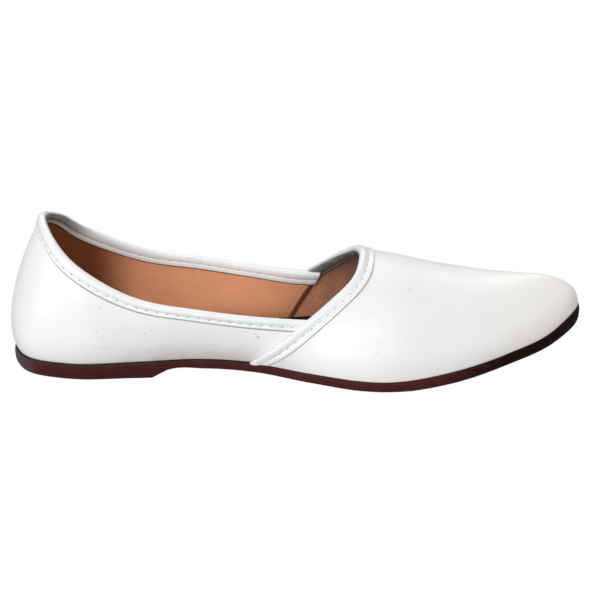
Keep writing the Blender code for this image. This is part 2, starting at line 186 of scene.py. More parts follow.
def table_curves(columns, rows, knot_column):
    """Smooth curves through a table, one for each other column, read by the knot column."""
    table = np.array(rows)
    knots = table[:, columns.index(knot_column)]
    curves = {}
    for i, name in enumerate(columns):
        if name != knot_column:
            curves[name] = (knots, table[:, i], slopes(knots, table[:, i], True))
    return curves


def station_tracks():
    """Curves of the station table, read from 0 at the heel to 1 at the toe along the foot line."""
    table = np.array(STATIONS)
    x = table[:, STATION_COLUMNS.index("foot_x")]
    w = table[:, STATION_COLUMNS.index("foot_w")]
    run = np.concatenate(((0.0,), np.cumsum(np.hypot(np.diff(x), np.diff(w)))))
    knots = run / run[-1]
    tracks = {}
    for i, name in enumerate(STATION_COLUMNS):
        tracks[name] = (knots, table[:, i], slopes(knots, table[:, i], name.endswith("_w")))
    return knots, tracks


KNOTS, TRACKS = station_tracks()
SOLE_CURVES = table_curves(SOLE_COLUMNS, SOLE, "x")
THROAT_CURVE = table_curves(CUT_COLUMNS, THROAT, "z")["x"]
FRONT_CURVE = table_curves(CUT_COLUMNS, QUARTER_FRONT, "z")["x"]


def track(name, t):
    """One column of the station table, read anywhere between heel (0) and toe (1)."""
    return read_curve(TRACKS[name], t)


def sole_top(x):
    """Height of the sole's upper face."""
    return read_curve(SOLE_CURVES["top"], x)


def sole_bottom(x):
    """Lower face of the sole: level under heel and forefoot, with a straight heel breast."""
    height = np.maximum(read_curve(SOLE_CURVES["bottom"], x), 0.0)
    rise = SOLE[ARCH_START][SOLE_COLUMNS.index("bottom")]
    breast = rise * (x - BREAST_BACK) / (BREAST_FRONT - BREAST_BACK)
    height = np.where(x <= BREAST_FRONT, breast, height)
    level = (x <= BREAST_BACK) | ((x >= SOLE[FLAT_START][0]) & (x <= SOLE[FLAT_END][0]))
    return np.where(level, 0.0, height)


def middle(x):
    """Sideways place of the shoe's middle line."""
    share = np.maximum(0.0, (x - SWING_START) / (LENGTH - SWING_START))
    return TOE_SWING * share * share


def outward(t):
    """Outward direction of the foot line in plan, as x and half width."""
    low = np.maximum(t - STEP, 0.0)
    high = np.minimum(t + STEP, 1.0)
    dx = track("foot_x", high) - track("foot_x", low)
    dw = track("foot_w", high) - track("foot_w", low)
    size = np.hypot(dx, dw)
    nx = np.where(t < STEP, -1.0, np.where(t > 1.0 - STEP, 1.0, -dw / size))
    nw = np.where((t < STEP) | (t > 1.0 - STEP), 0.0, dx / size)
    return nx, nw


def bezier(a, b, c, d, s):
    s = s[..., None]
    r = 1.0 - s
    return a * r ** 3 + b * 3 * r * r * s + c * 3 * r * s * s + d * s ** 3


def share_between(values, start, end):
    """Share of the way from start to end, no less than 0 and no more than 1."""
    return np.clip((values - start) / (end - start), 0.0, 1.0)


def ramp(values, low, high):
    """Soft step from 0 at low to 1 at high."""
    share = share_between(values, low, high)
    return share * share * (3.0 - 2.0 * share)


def collar_drop(t, side):
    """How much lower the outer side's collar is. It sinks beside the heel and ends at the ball."""
    sunk = ramp(t, KNOTS[HEEL_SIDE], KNOTS[SEAT])
    ended = share_between(t, KNOTS[THROAT_ROW], KNOTS[BALL])
    return OUTER_DROP * (0.5 - 0.5 * side) * sunk * (1.0 - ended)


def halve(is_low, low, high, steps):
    """Close in on where a test turns from true to false, and give both sides of that place."""
    for _ in range(steps):
        at = (low + high) / 2
        test = is_low(at)
        low = np.where(test, at, low)
        high = np.where(test, high, at)
    return low, high


def last_points(t, v, side):
    """Points of the last. t runs from heel to toe, v from the foot over the edge to the crown."""
    t, v, side = np.broadcast_arrays(np.asarray(t, float), np.asarray(v, float), np.asarray(side, float))
    side = np.where((t < 0.0) | (t > 1.0), -side, side)
    t = np.where(t < 0.0, -t, np.where(t > 1.0, 2.0 - t, t))
    side = np.where(v > 1.0, -side, side)
    v = np.where(v > 1.0, 2.0 - v, v)
    nx, nw = outward(t)
    foot_x = track("foot_x", t)
    foot = np.stack((foot_x, track("foot_w", t), sole_top(foot_x) + GAP), axis=-1)
    edge_z = track("edge_z", t) - collar_drop(t, side)
    edge = np.stack((track("edge_x", t), track("edge_w", t), edge_z), axis=-1)
    lean = np.radians(track("lean", t))
    up_edge = np.stack((-nx * np.cos(lean), -nw * np.cos(lean), np.sin(lean)), axis=-1)
    flare = np.radians(track("flare", t))
    up_foot = np.stack((nx * np.cos(flare), nw * np.cos(flare), np.sin(flare)), axis=-1)
    span = np.linalg.norm(edge - foot, axis=-1)[..., None]
    low = foot + up_foot * FOOT_PULL * span
    high = edge - up_edge * EDGE_PULL * span
    wall = bezier(foot, low, high, edge, np.minimum(v / EDGE_SHARE, 1.0))
    crown = np.stack((track("crown_x", t), np.zeros_like(t), track("crown_z", t)), axis=-1)
    pull = CROWN_PULL * np.linalg.norm(crown - edge, axis=-1)[..., None]
    level = np.stack((nx, nw, np.zeros_like(t)), axis=-1)
    share = np.maximum((v - EDGE_SHARE) / (1.0 - EDGE_SHARE), 0.0)
    over = bezier(edge, edge + up_edge * pull, crown + level * pull, crown, share)
    point = np.where((v <= EDGE_SHARE)[..., None], wall, over)
    y = middle(point[..., 0]) + side * point[..., 1]
    return np.stack((point[..., 0], y, point[..., 2]), axis=-1)


def surface_slopes(t, v, side):
    """Slopes of the last along t and v."""
    v = np.clip(v, STEP, 1.0 - 5 * STEP)
    along = (last_points(t + STEP, v, side) - last_points(t - STEP, v, side)) / (2 * STEP)
    up = (last_points(t, v + STEP, side) - last_points(t, v - STEP, side)) / (2 * STEP)
    return along, up


def unit(vectors):
    return vectors / np.linalg.norm(vectors, axis=-1)[..., None]


def normals(t, v, side):
    """Outward directions of the last's surface."""
    along, up = surface_slopes(t, v, side)
    return unit(np.cross(up, along) * np.asarray(side, float)[..., None])


def off_last(t, v, side, offset):
    """Points at a distance outside the last."""
    return last_points(t, v, side) + normals(t, v, side) * np.asarray(offset, float)[..., None]


def skin(t, v, side, offset):
    """Points at a distance outside the last, with the ribs starting where that wall clears the sole."""
    t, v, side, offset = np.broadcast_arrays(t, v, side, np.asarray(offset, float))

    def is_short(rib):
        trial = off_last(t, rib, side, offset)
        return trial[..., 2] < sole_top(trial[..., 0]) + GAP

    start = np.zeros(v.shape)
    short = is_short(start)
    steps = FOOT_HALVINGS if short.any() else 0
    _, clear = halve(is_short, start, np.full(v.shape, FOOT_REACH), steps)
    foot = np.where(short, clear, 0.0)
    rib = np.where(v < EDGE_SHARE, foot + v * (1.0 - foot / EDGE_SHARE), v)
    return off_last(t, rib, side, offset)


def place_on_edge(line, v, side, offset):
    """Where a cut edge, given in side view, crosses the lines at v round a wall off the last."""
    v, side = np.broadcast_arrays(np.asarray(v, float), np.asarray(side, float))

    def is_behind(t):
        point = skin(t, v, side, offset)
        return point[..., 0] < read_curve(line, point[..., 2])

    low, high = np.full(v.shape, KNOTS[WAIST]), np.full(v.shape, KNOTS[TOE_SIDE])
    return halve(is_behind, low, high, HALVINGS)[0]


def slide(t, v, side, direction, distance):
    """Move along the last's surface in a direction."""
    move = direction * np.asarray(distance, float)[..., None] / SLIDE_STEPS
    for _ in range(SLIDE_STEPS):
        along, up = surface_slopes(t, v, side)
        aa, ab, bb = (along * along).sum(-1), (along * up).sum(-1), (up * up).sum(-1)
        am, bm = (along * move).sum(-1), (up * move).sum(-1)
        size = aa * bb - ab * ab
        t, v = t + (am * bb - bm * ab) / size, v + (bm * aa - am * ab) / size
    return t, v


def to_world(points):
    """From millimetres off the heel to metres about the middle of the shoe."""
    return (points - np.array((LENGTH / 2, SIDE_CENTRE, 0.0))) * MM


def mapped_grid(points, soil_and_shade, closed=False, columns_in=(), rows_in=()):
    """A grid of faces with its corners at an array of points, columns by rows.

    soil_and_shade says how much dirt, dust and painted shade each point carries. A closed grid is joined
    from its last row to its first.
    columns_in and rows_in give the material's number for some columns and rows of faces.
    """
    columns_in, rows_in = dict(columns_in), dict(rows_in)
    soil_and_shade = np.clip(np.broadcast_to(soil_and_shade, points.shape[:2]), 0.0, 1.0)
    if closed:
        points = np.concatenate((points, points[:, :1]), axis=1)
        soil_and_shade = np.concatenate((soil_and_shade, soil_and_shade[:, :1]), axis=1)
    columns, rows = points.shape[0] - 1, points.shape[1] - 1
    bm = bmesh.new()
    bmesh.ops.create_grid(bm, x_segments=columns, y_segments=rows, size=1.0)
    for face in bm.faces:
        centre = face.calc_center_median()
        column = int((centre.x + 1.0) / 2.0 * columns)
        row = int((centre.y + 1.0) / 2.0 * rows)
        face.material_index = columns_in.get(column, rows_in.get(row, 0))
    world = to_world(points)
    soil_and_shade_layer = bm.verts.layers.float.new("soil_and_shade")
    for vertex in bm.verts:
        i = round((vertex.co.x + 1.0) / 2.0 * columns)
        j = round((vertex.co.y + 1.0) / 2.0 * rows)
        vertex.co = world[i, j]
        vertex[soil_and_shade_layer] = soil_and_shade[i, j]
    bmesh.ops.remove_doubles(bm, verts=bm.verts, dist=FINE * MM)
    bmesh.ops.recalc_face_normals(bm, faces=bm.faces)
    return bm


def face_outwards(bm):
    """Turn an open surface so that its faces look out of the shoe."""
    centre = sum((v.co for v in bm.verts), start=Vector()) / len(bm.verts)
    score = 0.0
    for face in bm.faces:
        score += face.calc_area() * face.normal.dot((face.calc_center_median() - centre).normalized())
    if score < 0.0:
        bmesh.ops.reverse_faces(bm, faces=bm.faces)
    return bm


def add_piece(name, bm, materials, slot, *nodes):
    """Make a bmesh a piece that rides on the shoe and stands for its solids."""
    mesh = bpy.data.meshes.new(name)
    bm.to_mesh(mesh)
    bm.free()
    mesh.shade_smooth()
    piece = bpy.data.objects.new(name, mesh)
    bpy.context.scene.collection.objects.link(piece)
    for material in materials:
        mesh.materials.append(material)
    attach(piece, BODY)
    if nodes:
        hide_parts(*nodes)
    return piece


def thicken(piece, thickness):
    """Turn an open surface into a wall, inwards."""
    wall = piece.modifiers.new("wall", "SOLIDIFY")
    wall.thickness = thickness * MM
    wall.offset = -1.0
    wall.use_even_offset = True


class Finish:
    """One material and its nodes, on the piece's own coordinates in metres."""

    def __init__(self, name):
        self.material = bpy.data.materials.new(name)
        self.material.use_nodes = True
        self.tree = self.material.node_tree
        self.shader = self.tree.nodes["Principled BSDF"]
        self.place = self.tree.nodes.new("ShaderNodeTexCoord").outputs["Object"]

    def node(self, kind, inputs, **options):
        """Add a node, set its options, and set or link its inputs."""
        node = self.tree.nodes.new(kind)
        for option, value in options.items():
            setattr(node, option, value)
        for socket, value in inputs.items():
            self.put(node, socket, value)
        return node

    def put(self, node, socket, value):
        if isinstance(value, bpy.types.NodeSocket):
            self.tree.links.new(value, node.inputs[socket])
        else:
            node.inputs[socket].default_value = value

    def set(self, **values):
        """Set or link the shader's inputs, with their names in lower case and underscores."""
        for name, value in values.items():
            self.put(self.shader, name.replace("_", " ").title().replace("Ior", "IOR"), value)

    def noise(self, size, detail=3.0, roughness=0.5):
        """Soft cloudy noise. size is that of its blotches in millimetres."""
        inputs = {"Vector": self.place, "Scale": 1.0 / (size * MM), "Detail": detail, "Roughness": roughness}
        return self.node("ShaderNodeTexNoise", inputs).outputs[0]

    def cells(self, size, feature="F1"):
        """Grain cells. size is that of a cell in millimetres."""
        inputs = {"Vector": self.place, "Scale": 1.0 / (size * MM)}
        return self.node("ShaderNodeTexVoronoi", inputs, feature=feature).outputs["Distance"]

    def span(self, value, low, high, to_low=0.0, to_high=1.0):
        """Stretch a range of values to another and clamp it."""
        inputs = {"Value": value, "From Min": low, "From Max": high, "To Min": to_low, "To Max": to_high}
        return self.node("ShaderNodeMapRange", inputs).outputs[0]

    def math(self, operation, a, b):
        return self.node("ShaderNodeMath", {0: a, 1: b}, operation=operation).outputs[0]

    def mix(self, share, a, b):
        """Mix two colours, each of them three numbers or another node's output."""
        a, b = (c if isinstance(c, bpy.types.NodeSocket) else (*c, 1.0) for c in (a, b))
        return self.node("ShaderNodeMix", {0: share, 6: a, 7: b}, data_type="RGBA").outputs[2]

    def along(self):
        """Distance from the shoe's middle to the toe, in metres."""
        return self.node("ShaderNodeSeparateXYZ", {0: self.place}).outputs[0]

    def attribute(self, name):
        return self.node("ShaderNodeAttribute", {}, attribute_name=name).outputs["Fac"]

    def bump(self, height, depth, strength=1.0, below=None):
        """Raise the surface by a height pattern. depth is in millimetres."""
        inputs = {"Height": height, "Distance": depth * MM, "Strength": strength}
        if below is not None:
            inputs["Normal"] = below
        return self.node("ShaderNodeBump", inputs).outputs[0]


def darker(colour, share):
    return tuple(channel * share for channel in colour)


# Where the leather turns cream, the sole turns dark at the toe and a little darker to the heel: metres
# from the middle of the shoe, and how much.
CREAM_SPAN = (0.090, 0.142, 0.0, 0.5)
DARK_TOE_SPAN = (0.070, 0.105, 0.0, 0.92)
DARK_HEEL_SPAN = (0.0, -0.08, 0.0, 0.3)
SPECK_CORE = 0.3        # share of a speck's radius that is evenly dark
SPECK_SIDE = -5.0       # specks are whole this far to the near side, in millimetres


def white_leather(name, tints):
    """Smooth white leather: fine pores, soft gloss, specks, grime and painted shade near the sole, and cream
    at the toe.
    """
    finish = Finish(name)
    cloud = finish.span(finish.noise(26.0, 4.0), 0.35, 0.65)
    base = finish.mix(cloud, darker(tints.leather, 0.97), tints.leather)
    blotches = finish.span(finish.noise(9.0, 5.0), 0.30, 0.62, 0.35)
    # Grime and painted shade low on the leather, by the sole.
    base = finish.mix(finish.math("MULTIPLY", finish.attribute("soil_and_shade"), blotches), base, tints.grime_and_shade)
    base = finish.mix(finish.span(finish.along(), *CREAM_SPAN), base, tints.cream)
    for row in SPECKS:
        base = finish.mix(speck_share(finish, *row), base, tints.speck)
    pores = finish.cells(0.75, "SMOOTH_F1")
    grain = finish.bump(pores, 0.035, 0.5)
    grain = finish.bump(finish.noise(6.0, 3.0), 0.12, 0.35, grain)
    gloss = finish.span(finish.noise(14.0, 4.0), 0.3, 0.7, 0.40, 0.54)
    finish.set(base_color=base, roughness=gloss, normal=grain, coat_weight=0.12, coat_roughness=0.30)
    return finish.material


def speck_share(finish, x, z, radius, stretch, strength):
    """How much of a speck covers a place on the near side, with a soft edge."""
    at = to_world(np.array((x, 0.0, z)))
    place = finish.node("ShaderNodeSeparateXYZ", {0: finish.place}).outputs
    dx = finish.math("MULTIPLY", finish.math("SUBTRACT", place[0], float(at[0])), 1.0 / stretch)
    dz = finish.math("SUBTRACT", place[2], float(at[2]))
    away = finish.node("ShaderNodeCombineXYZ", {0: dx, 2: dz}).outputs[0]
    distance = finish.node("ShaderNodeVectorMath", {0: away}, operation="LENGTH").outputs["Value"]
    near = finish.span(place[1], 0.0, SPECK_SIDE * MM)
    dark = finish.span(distance, radius * MM, radius * MM * SPECK_CORE, 0.0, strength)
    return finish.math("MULTIPLY", near, dark)


def strip_leather(name, colour, shaded):
    """Thin white leather of the folded strips, cooler and a little glossier, and dark with painted shade on
    their turned-in part.
    """
    finish = Finish(name)
    cloud = finish.span(finish.noise(12.0, 4.0), 0.35, 0.65)
    base = finish.mix(cloud, darker(colour, 0.955), colour)
    blotches = finish.span(finish.noise(4.0, 4.0), 0.25, 0.55, 0.85)
    base = finish.mix(finish.math("MULTIPLY", finish.attribute("soil_and_shade"), blotches), base, shaded)
    grain = finish.bump(finish.cells(0.6, "SMOOTH_F1"), 0.03, 0.5)
    grain = finish.bump(finish.noise(3.0, 3.0), 0.10, 0.35, grain)
    gloss = finish.span(finish.noise(7.0, 3.0), 0.3, 0.7, 0.34, 0.48)
    finish.set(base_color=base, roughness=gloss, normal=grain, coat_weight=0.15, coat_roughness=0.28)
    return finish.material


def raw_edge(name, colour):
    """Cut edge of thin leather: grey and fibrous."""
    finish = Finish(name)
    fibres = finish.noise(0.8, 4.0)
    base = finish.mix(finish.span(fibres, 0.3, 0.7), darker(colour, 0.7), colour)
    finish.set(base_color=base, roughness=0.85, normal=finish.bump(fibres, 0.05, 0.6))
    return finish.material


def lining_leather(name, colour, dark):
    """Tan lining: smooth split leather, mottled, with small marks, and dark with painted shade deep in the
    heel.
    """
    finish = Finish(name)
    cloud = finish.span(finish.noise(17.0, 5.0, 0.6), 0.34, 0.66)
    base = finish.mix(cloud, darker(colour, 0.94), darker(colour, 1.03))
    flecks = finish.noise(1.3, 5.0, 0.7)
    base = finish.mix(finish.span(flecks, 0.58, 0.70, 0.0, 0.30), base, darker(colour, 0.5))
    base = finish.mix(finish.span(flecks, 0.40, 0.28, 0.0, 0.4), base, darker(colour, 1.18))
    base = finish.mix(finish.attribute("soil_and_shade"), base, dark)
    grain = finish.bump(finish.cells(0.9, "SMOOTH_F1"), 0.05, 0.5)
    grain = finish.bump(finish.noise(2.5, 5.0, 0.6), 0.14, 0.5, grain)
    gloss = finish.span(finish.noise(8.0, 4.0), 0.3, 0.7, 0.50, 0.66)
    finish.set(base_color=base, roughness=gloss, normal=grain, specular_ior_level=0.2)
    return finish.material


def suede_lining(name, colour, shade):
    """Rough flesh side of leather: dark, with a nap of pale fibres, and darker with painted shade where it
    lies high under the vamp.
    """
    finish = Finish(name)
    fibres = finish.noise(0.9, 6.0, 0.75)
    base = finish.mix(finish.span(finish.noise(7.0, 4.0), 0.3, 0.7), darker(colour, 0.75), colour)
    base = finish.mix(finish.span(fibres, 0.55, 0.72, 0.0, 0.8), base, darker(colour, 1.2))
    base = finish.mix(finish.span(fibres, 0.47, 0.30, 0.0, 0.8), base, darker(colour, 0.35))
    base = finish.mix(finish.attribute("soil_and_shade"), base, shade)
    finish.set(base_color=base, roughness=0.95, normal=finish.bump(fibres, 0.25, 0.8),
               sheen_weight=0.25, sheen_roughness=0.5)
    return finish.material


def sole_rubber(name, colour, dusty):
    """Dark maroon moulded sole: matt, faintly clouded, dusty at its lower edge and its back."""
    finish = Finish(name)
    cloud = finish.span(finish.noise(11.0, 5.0, 0.6), 0.32, 0.68)
    base = finish.mix(cloud, darker(colour, 0.82), darker(colour, 1.12))
    base = finish.mix(finish.span(finish.along(), *DARK_TOE_SPAN), base, darker(colour, 0.12))
    base = finish.mix(finish.span(finish.along(), *DARK_HEEL_SPAN), base, darker(colour, 0.35))
    blotches = finish.span(finish.noise(3.0, 6.0, 0.7), 0.38, 0.6, 0.5)
    base = finish.mix(finish.math("MULTIPLY", finish.attribute("soil_and_shade"), blotches), base, dusty)
    grain = finish.bump(finish.noise(0.7, 4.0, 0.6), 0.06, 0.6)
    gloss = finish.span(finish.noise(6.0, 4.0), 0.3, 0.7, 0.50, 0.68)
    finish.set(base_color=base, roughness=gloss, normal=grain, specular_ior_level=0.07)
    return finish.material


def plain_matt(name, colour, roughness):
    """A small thing's finish: its colour with a fine unevenness."""
    finish = Finish(name)
    cloud = finish.span(finish.noise(1.2, 3.0), 0.35, 0.65)
    grain = finish.bump(finish.noise(0.25, 3.0), 0.03, 0.6)
    finish.set(base_color=finish.mix(cloud, darker(colour, 0.85), colour), roughness=roughness, normal=grain)
    return finish.material


def colour_property(name, description, default):
    return bpy.props.FloatVectorProperty(
        name=name, description=description, default=default, size=3, min=0.0, max=1.0, subtype="COLOR")


def length_property(name, description, millimetres):
    return bpy.props.FloatProperty(
        name=name, description=description, default=millimetres * MM, min=0.0, unit="LENGTH", precision=5)


class MojariSizes(bpy.types.PropertyGroup):
    """Sizes of the leather work."""

    leather: length_property("Leather", "Thickness of the white leather", 1.0)
    lining: length_property("Lining", "Thickness of the lining", 0.75)
    collar_width: length_property("Collar strip", "Widest part of the collar strip outside", 7.3)
    collar_turn: length_property("Collar turn", "Widest part of the collar strip inside", 6.0)
    throat_width: length_property("Throat strip", "Width of the strip on the vamp's rear edge", 7.0)
    throat_turn: length_property("Throat turn", "Width of that strip inside", 5.4)
    collar_row: length_property("Collar stitches", "Stitch row below the collar's edge", 4.2)
    throat_row: length_property("Throat stitches", "Stitch row in front of the throat's edge", 3.9)
    inside_row: length_property("Inside stitches", "Stitch row below the edge inside", 2.7)
    stitch_pitch: length_property("Stitch pitch", "From one needle hole to the next", 5.15)
    thread: length_property("Thread", "Thickness of the thread", 0.55)
    insole: length_property("Insole", "Thickness of the insole", 2.0)
    insole_inset: length_property("Insole inset", "From the outside of the upper to the insole's edge", 2.2)
    sole_lip: length_property("Sole lip", "How far the sole stands out from the upper's foot", 0.8)


class MojariColours(bpy.types.PropertyGroup):
    """Colours of the leather work."""

    leather: colour_property("Leather", "White leather of quarter and vamp", (0.872, 0.866, 0.855))
    strip: colour_property("Strips", "White leather of the folded strips", (0.845, 0.865, 0.86))
    # Soft dirt together with painted shade, low on the leather by the sole.
    grime_and_shade: colour_property("Grime", "Soft dirt low on the leather", (0.62, 0.58, 0.56))
    cream: colour_property("Cream", "White leather where it has yellowed at the toe", (0.88, 0.82, 0.72))
    speck: colour_property("Specks", "Small marks on the leather", (0.28, 0.28, 0.31))
    # Painted light: a whiter, cooler copy of the strip leather, so the turned-in part shows lit inside the
    # shoe.
    turn: colour_property("Strip turn", "Strips where they are turned in", (0.90, 0.965, 1.0))
    # Painted shadow: the dark line along the turned-in raw edge of the strips.
    turn_edge_shadow: colour_property("Turn edge", "Raw edge of the strips inside", (0.10, 0.045, 0.025))
    # Painted shade: the dark olive grey inside the strips, at the heel's back and under the instep.
    shaded: colour_property("Worn strip", "Strips where they are worn inside", (0.060, 0.068, 0.050))
    collar_edge: colour_property("Collar edge", "Raw edge of the collar strip", (0.72, 0.73, 0.74))
    throat_edge: colour_property("Throat edge", "Raw edge of the throat strip", (0.36, 0.37, 0.38))
    lining: colour_property("Lining", "Tan lining of the quarter", (0.80, 0.385, 0.205))
    # Painted shade: the tan lining darkened deep in the heel.
    deep_shade: colour_property("Rubbed lining", "Tan lining deep in the heel", (0.135, 0.028, 0.005))
    # Burnished edge and painted shadow: the lining's front edge, darkened also for the shadow of its step
    # over the vamp's lining.
    burnished_and_shadow: colour_property("Burnished edge", "Front edge of the lining", (0.36, 0.11, 0.03))
    suede: colour_property("Suede", "Rough lining of the vamp", (0.88, 0.385, 0.215))
    suede_shade: colour_property("Suede shade", "Rough lining where it is darkest", (0.12, 0.045, 0.025))
    # Painted shade: the insole in front of the sock is near black, for the deep shade inside the forefoot.
    board: colour_property("Board", "Bare insole in front of the sock", (0.010, 0.006, 0.005))
    cement: colour_property("Cement", "Lumps of glue at the lap's foot", (0.80, 0.69, 0.68))
    sole: colour_property("Sole", "Moulded sole", (0.066, 0.0148, 0.0148))
    dust: colour_property("Dust", "Dust on the sole", (0.105, 0.088, 0.092))
    sole_line: colour_property("Sole line", "Line where sole and leather meet", (0.012, 0.006, 0.006))
    thread: colour_property("Thread", "Sewing thread", (0.80, 0.84, 0.86))
    hole: colour_property("Needle hole", "Shadow in a needle hole", (0.36, 0.39, 0.44))


def sizes():
    return bpy.context.scene.mojari_sizes


def colours():
    return bpy.context.scene.mojari_colours


def in_mm(length):
    return length / MM


QUARTER_FACES = (220, 40)           # round the heel, and up the wall
QUARTER_LINING_FACES = (180, 30)
VAMP_FACES = (130, 40)              # from the rear edge to the toe, and for a quarter of the way across
VAMP_LINING_FACES = (70, 22)
HEEL_STEP = 0.55        # steps at the back of the heel, as a share of even ones
BURNISHED_AND_SHADOW = 2.6         # width of the quarter lining's front edge, burnished and darkened with painted shadow of its step
QUARTER_RUN = 160.0     # along the quarter, from the back of the heel to its front edge
LAYER_GAP = 0.05        # between leather and lining

# Grime on the leather together with painted shade, low by the sole: height over the sole where it ends,
# strength everywhere, and how much stronger it is at the waist and the toe, with the distances from the heel
# where that begins and is full.
GRIME_AND_SHADE_HEIGHT = 15.0
GRIME_AND_SHADE = 0.25
WAIST_GRIME_AND_SHADE = 0.55
WAIST_BEHIND, WAIST_AHEAD = (45.0, 80.0), (160.0, 125.0)
TOE_GRIME_AND_SHADE = 0.45
TOE_SPAN = (215.0, 262.0)

# Painted shade on the linings, deep in the heel, low at the insole and high under the vamp: strength, and
# where it begins and is full, from the heel or in height.
HEEL_SHADE, HEEL_SHADE_SPAN = 0.92, (66.0, 38.0)
LOW_SHADE, LOW_SHADE_SPAN = 0.35, (8.0, 0.0)
SUEDE_PAINTED_SHADE, SUEDE_PAINTED_SHADE_SPAN = 0.8, (22.0, 44.0)


def spread_heel(count):
    """Sides and shares of the way forward for steps round the heel, closer together at the back."""
    share = np.linspace(-1.0, 1.0, count + 1)
    side = np.where(share > 0.0, 1.0, -1.0)
    away = np.abs(share)
    return side, away * (HEEL_STEP + (1.0 - HEEL_STEP) * away)


def across_vamp(count):
    """Heights on the ribs and their sides, from the near foot over the crown to the far foot."""
    wall = np.linspace(0.0, EDGE_SHARE, count + 1)
    heights = np.concatenate((wall, np.linspace(EDGE_SHARE, 1.0, count + 1)[1:]))
    v = np.concatenate((heights, heights[-2::-1]))
    side = np.concatenate((np.full(len(heights), -1.0), np.full(len(heights) - 1, 1.0)))
    return v, side


def quarter_points(columns, rows, offset):
    """Points of the quarter off the last, from one front edge round the heel to the other."""
    heights = np.linspace(0.0, EDGE_SHARE, rows + 1)
    near = place_on_edge(FRONT_CURVE, heights, -1.0, 0.0)
    far = place_on_edge(FRONT_CURVE, heights, 1.0, 0.0)
    side, share = spread_heel(columns)
    share[1] = 1.0 - BURNISHED_AND_SHADOW / QUARTER_RUN
    share[-2] = share[1]
    ends = np.where(side[:, None] < 0.0, near[None, :], far[None, :])
    t = share[:, None] * ends
    v = np.broadcast_to(heights[None, :], t.shape)
    return skin(t, v, np.broadcast_to(side[:, None], t.shape), offset)


def crease_depth(points):
    """How deep the listed creases press in at some points of the vamp."""
    depth = np.zeros(points.shape[:-1])
    for x, z, side, length, width, rise, deep in CREASES:
        dx = points[..., 0] - x
        dz = points[..., 2] - z - rise * dx
        here = np.exp(-(dx / length) ** 2) * (np.sign(points[..., 1] - middle(points[..., 0])) == side)
        trough = np.exp(-(dz / width) ** 2)
        ridges = np.exp(-((np.abs(dz) - RIDGE_AWAY * width) / width) ** 2)
        depth += deep * here * (trough - RIDGE_SHARE * ridges)
    return depth


def vamp_points(columns, rows, offset):
    """Points of the vamp off the last, from its rear edge to the toe, over both sides."""
    v, side = across_vamp(rows)
    starts = place_on_edge(THROAT_CURVE, v, side, LAP_STEP)
    share = np.linspace(0.0, 1.0, columns + 1)[:, None]
    t = starts[None, :] + (1.0 - starts[None, :]) * share
    v = np.broadcast_to(v[None, :], t.shape)
    side = np.broadcast_to(side[None, :], t.shape)
    points = skin(t, v, side, offset)
    return points - normals(t, v, side) * crease_depth(points)[..., None]


def low_on_leather(points):
    """Grime and painted shade on the leather close above the sole, most at the waist and the toe."""
    x = points[..., 0]
    height = points[..., 2] - sole_top(x)
    waist = ramp(x, *WAIST_BEHIND) * ramp(x, *WAIST_AHEAD)
    strength = GRIME_AND_SHADE + WAIST_GRIME_AND_SHADE * waist + TOE_GRIME_AND_SHADE * ramp(x, *TOE_SPAN)
    return ramp(height, GRIME_AND_SHADE_HEIGHT, 0.0) * strength


def shade_deep_in_heel(points):
    """Painted shade on the lining deep in the heel and down at the insole."""
    x = points[..., 0]
    height = points[..., 2] - sole_top(x)
    return HEEL_SHADE * ramp(x, *HEEL_SHADE_SPAN) + LOW_SHADE * ramp(height, *LOW_SHADE_SPAN)


class MOJARI_OT_quarter(bpy.types.Operator):
    """Add the back part of the upper and its tan lining"""

    bl_idname = "mojari.quarter"
    bl_label = "Quarter"

    def execute(self, context):
        leather, tints = in_mm(sizes().leather), colours()
        white = white_leather("white_leather_quarter", tints)
        points = quarter_points(*QUARTER_FACES, 0.0)
        bm = face_outwards(mapped_grid(points, low_on_leather(points)))
        thicken(add_piece("quarter", bm, [white], "upper", "upper"), leather)
        # Its dark colour is painted shade deep in the heel.
        tan = lining_leather("tan_lining", tints.lining, tints.deep_shade)
        # The front edge: burnished, and dark also as painted shadow.
        materials = [tan, raw_edge("lining_edge_and_shadow", tints.burnished_and_shadow)]
        points = quarter_points(*QUARTER_LINING_FACES, -leather - LAYER_GAP)
        ends = {0: 1, QUARTER_LINING_FACES[0] - 1: 1}
        bm = face_outwards(mapped_grid(points, shade_deep_in_heel(points), columns_in=ends))
        thicken(add_piece("quarter_lining", bm, materials, "insole", "upper"), in_mm(sizes().lining))
        return {"FINISHED"}


class MOJARI_OT_vamp(bpy.types.Operator):
    """Add the front part of the upper, with its creases, and its suede lining"""

    bl_idname = "mojari.vamp"
    bl_label = "Vamp"

    def execute(self, context):
        leather, tints = in_mm(sizes().leather), colours()
        white = white_leather("white_leather_vamp", tints)
        points = vamp_points(*VAMP_FACES, LAP_STEP)
        bm = face_outwards(mapped_grid(points, low_on_leather(points)))
        thicken(add_piece("vamp", bm, [white], "upper", "upper"), leather)
        suede = suede_lining("suede_lining", tints.suede, tints.suede_shade)
        points = vamp_points(*VAMP_LINING_FACES, LAP_STEP - leather - LAYER_GAP)
        # Painted shade on the suede, growing up under the vamp's top.
        shade_strength = SUEDE_PAINTED_SHADE * ramp(points[..., 2], *SUEDE_PAINTED_SHADE_SPAN)
        bm = face_outwards(mapped_grid(points, shade_strength))
        thicken(add_piece("vamp_lining", bm, [suede], "insole", "upper"), in_mm(sizes().lining))
        return {"FINISHED"}


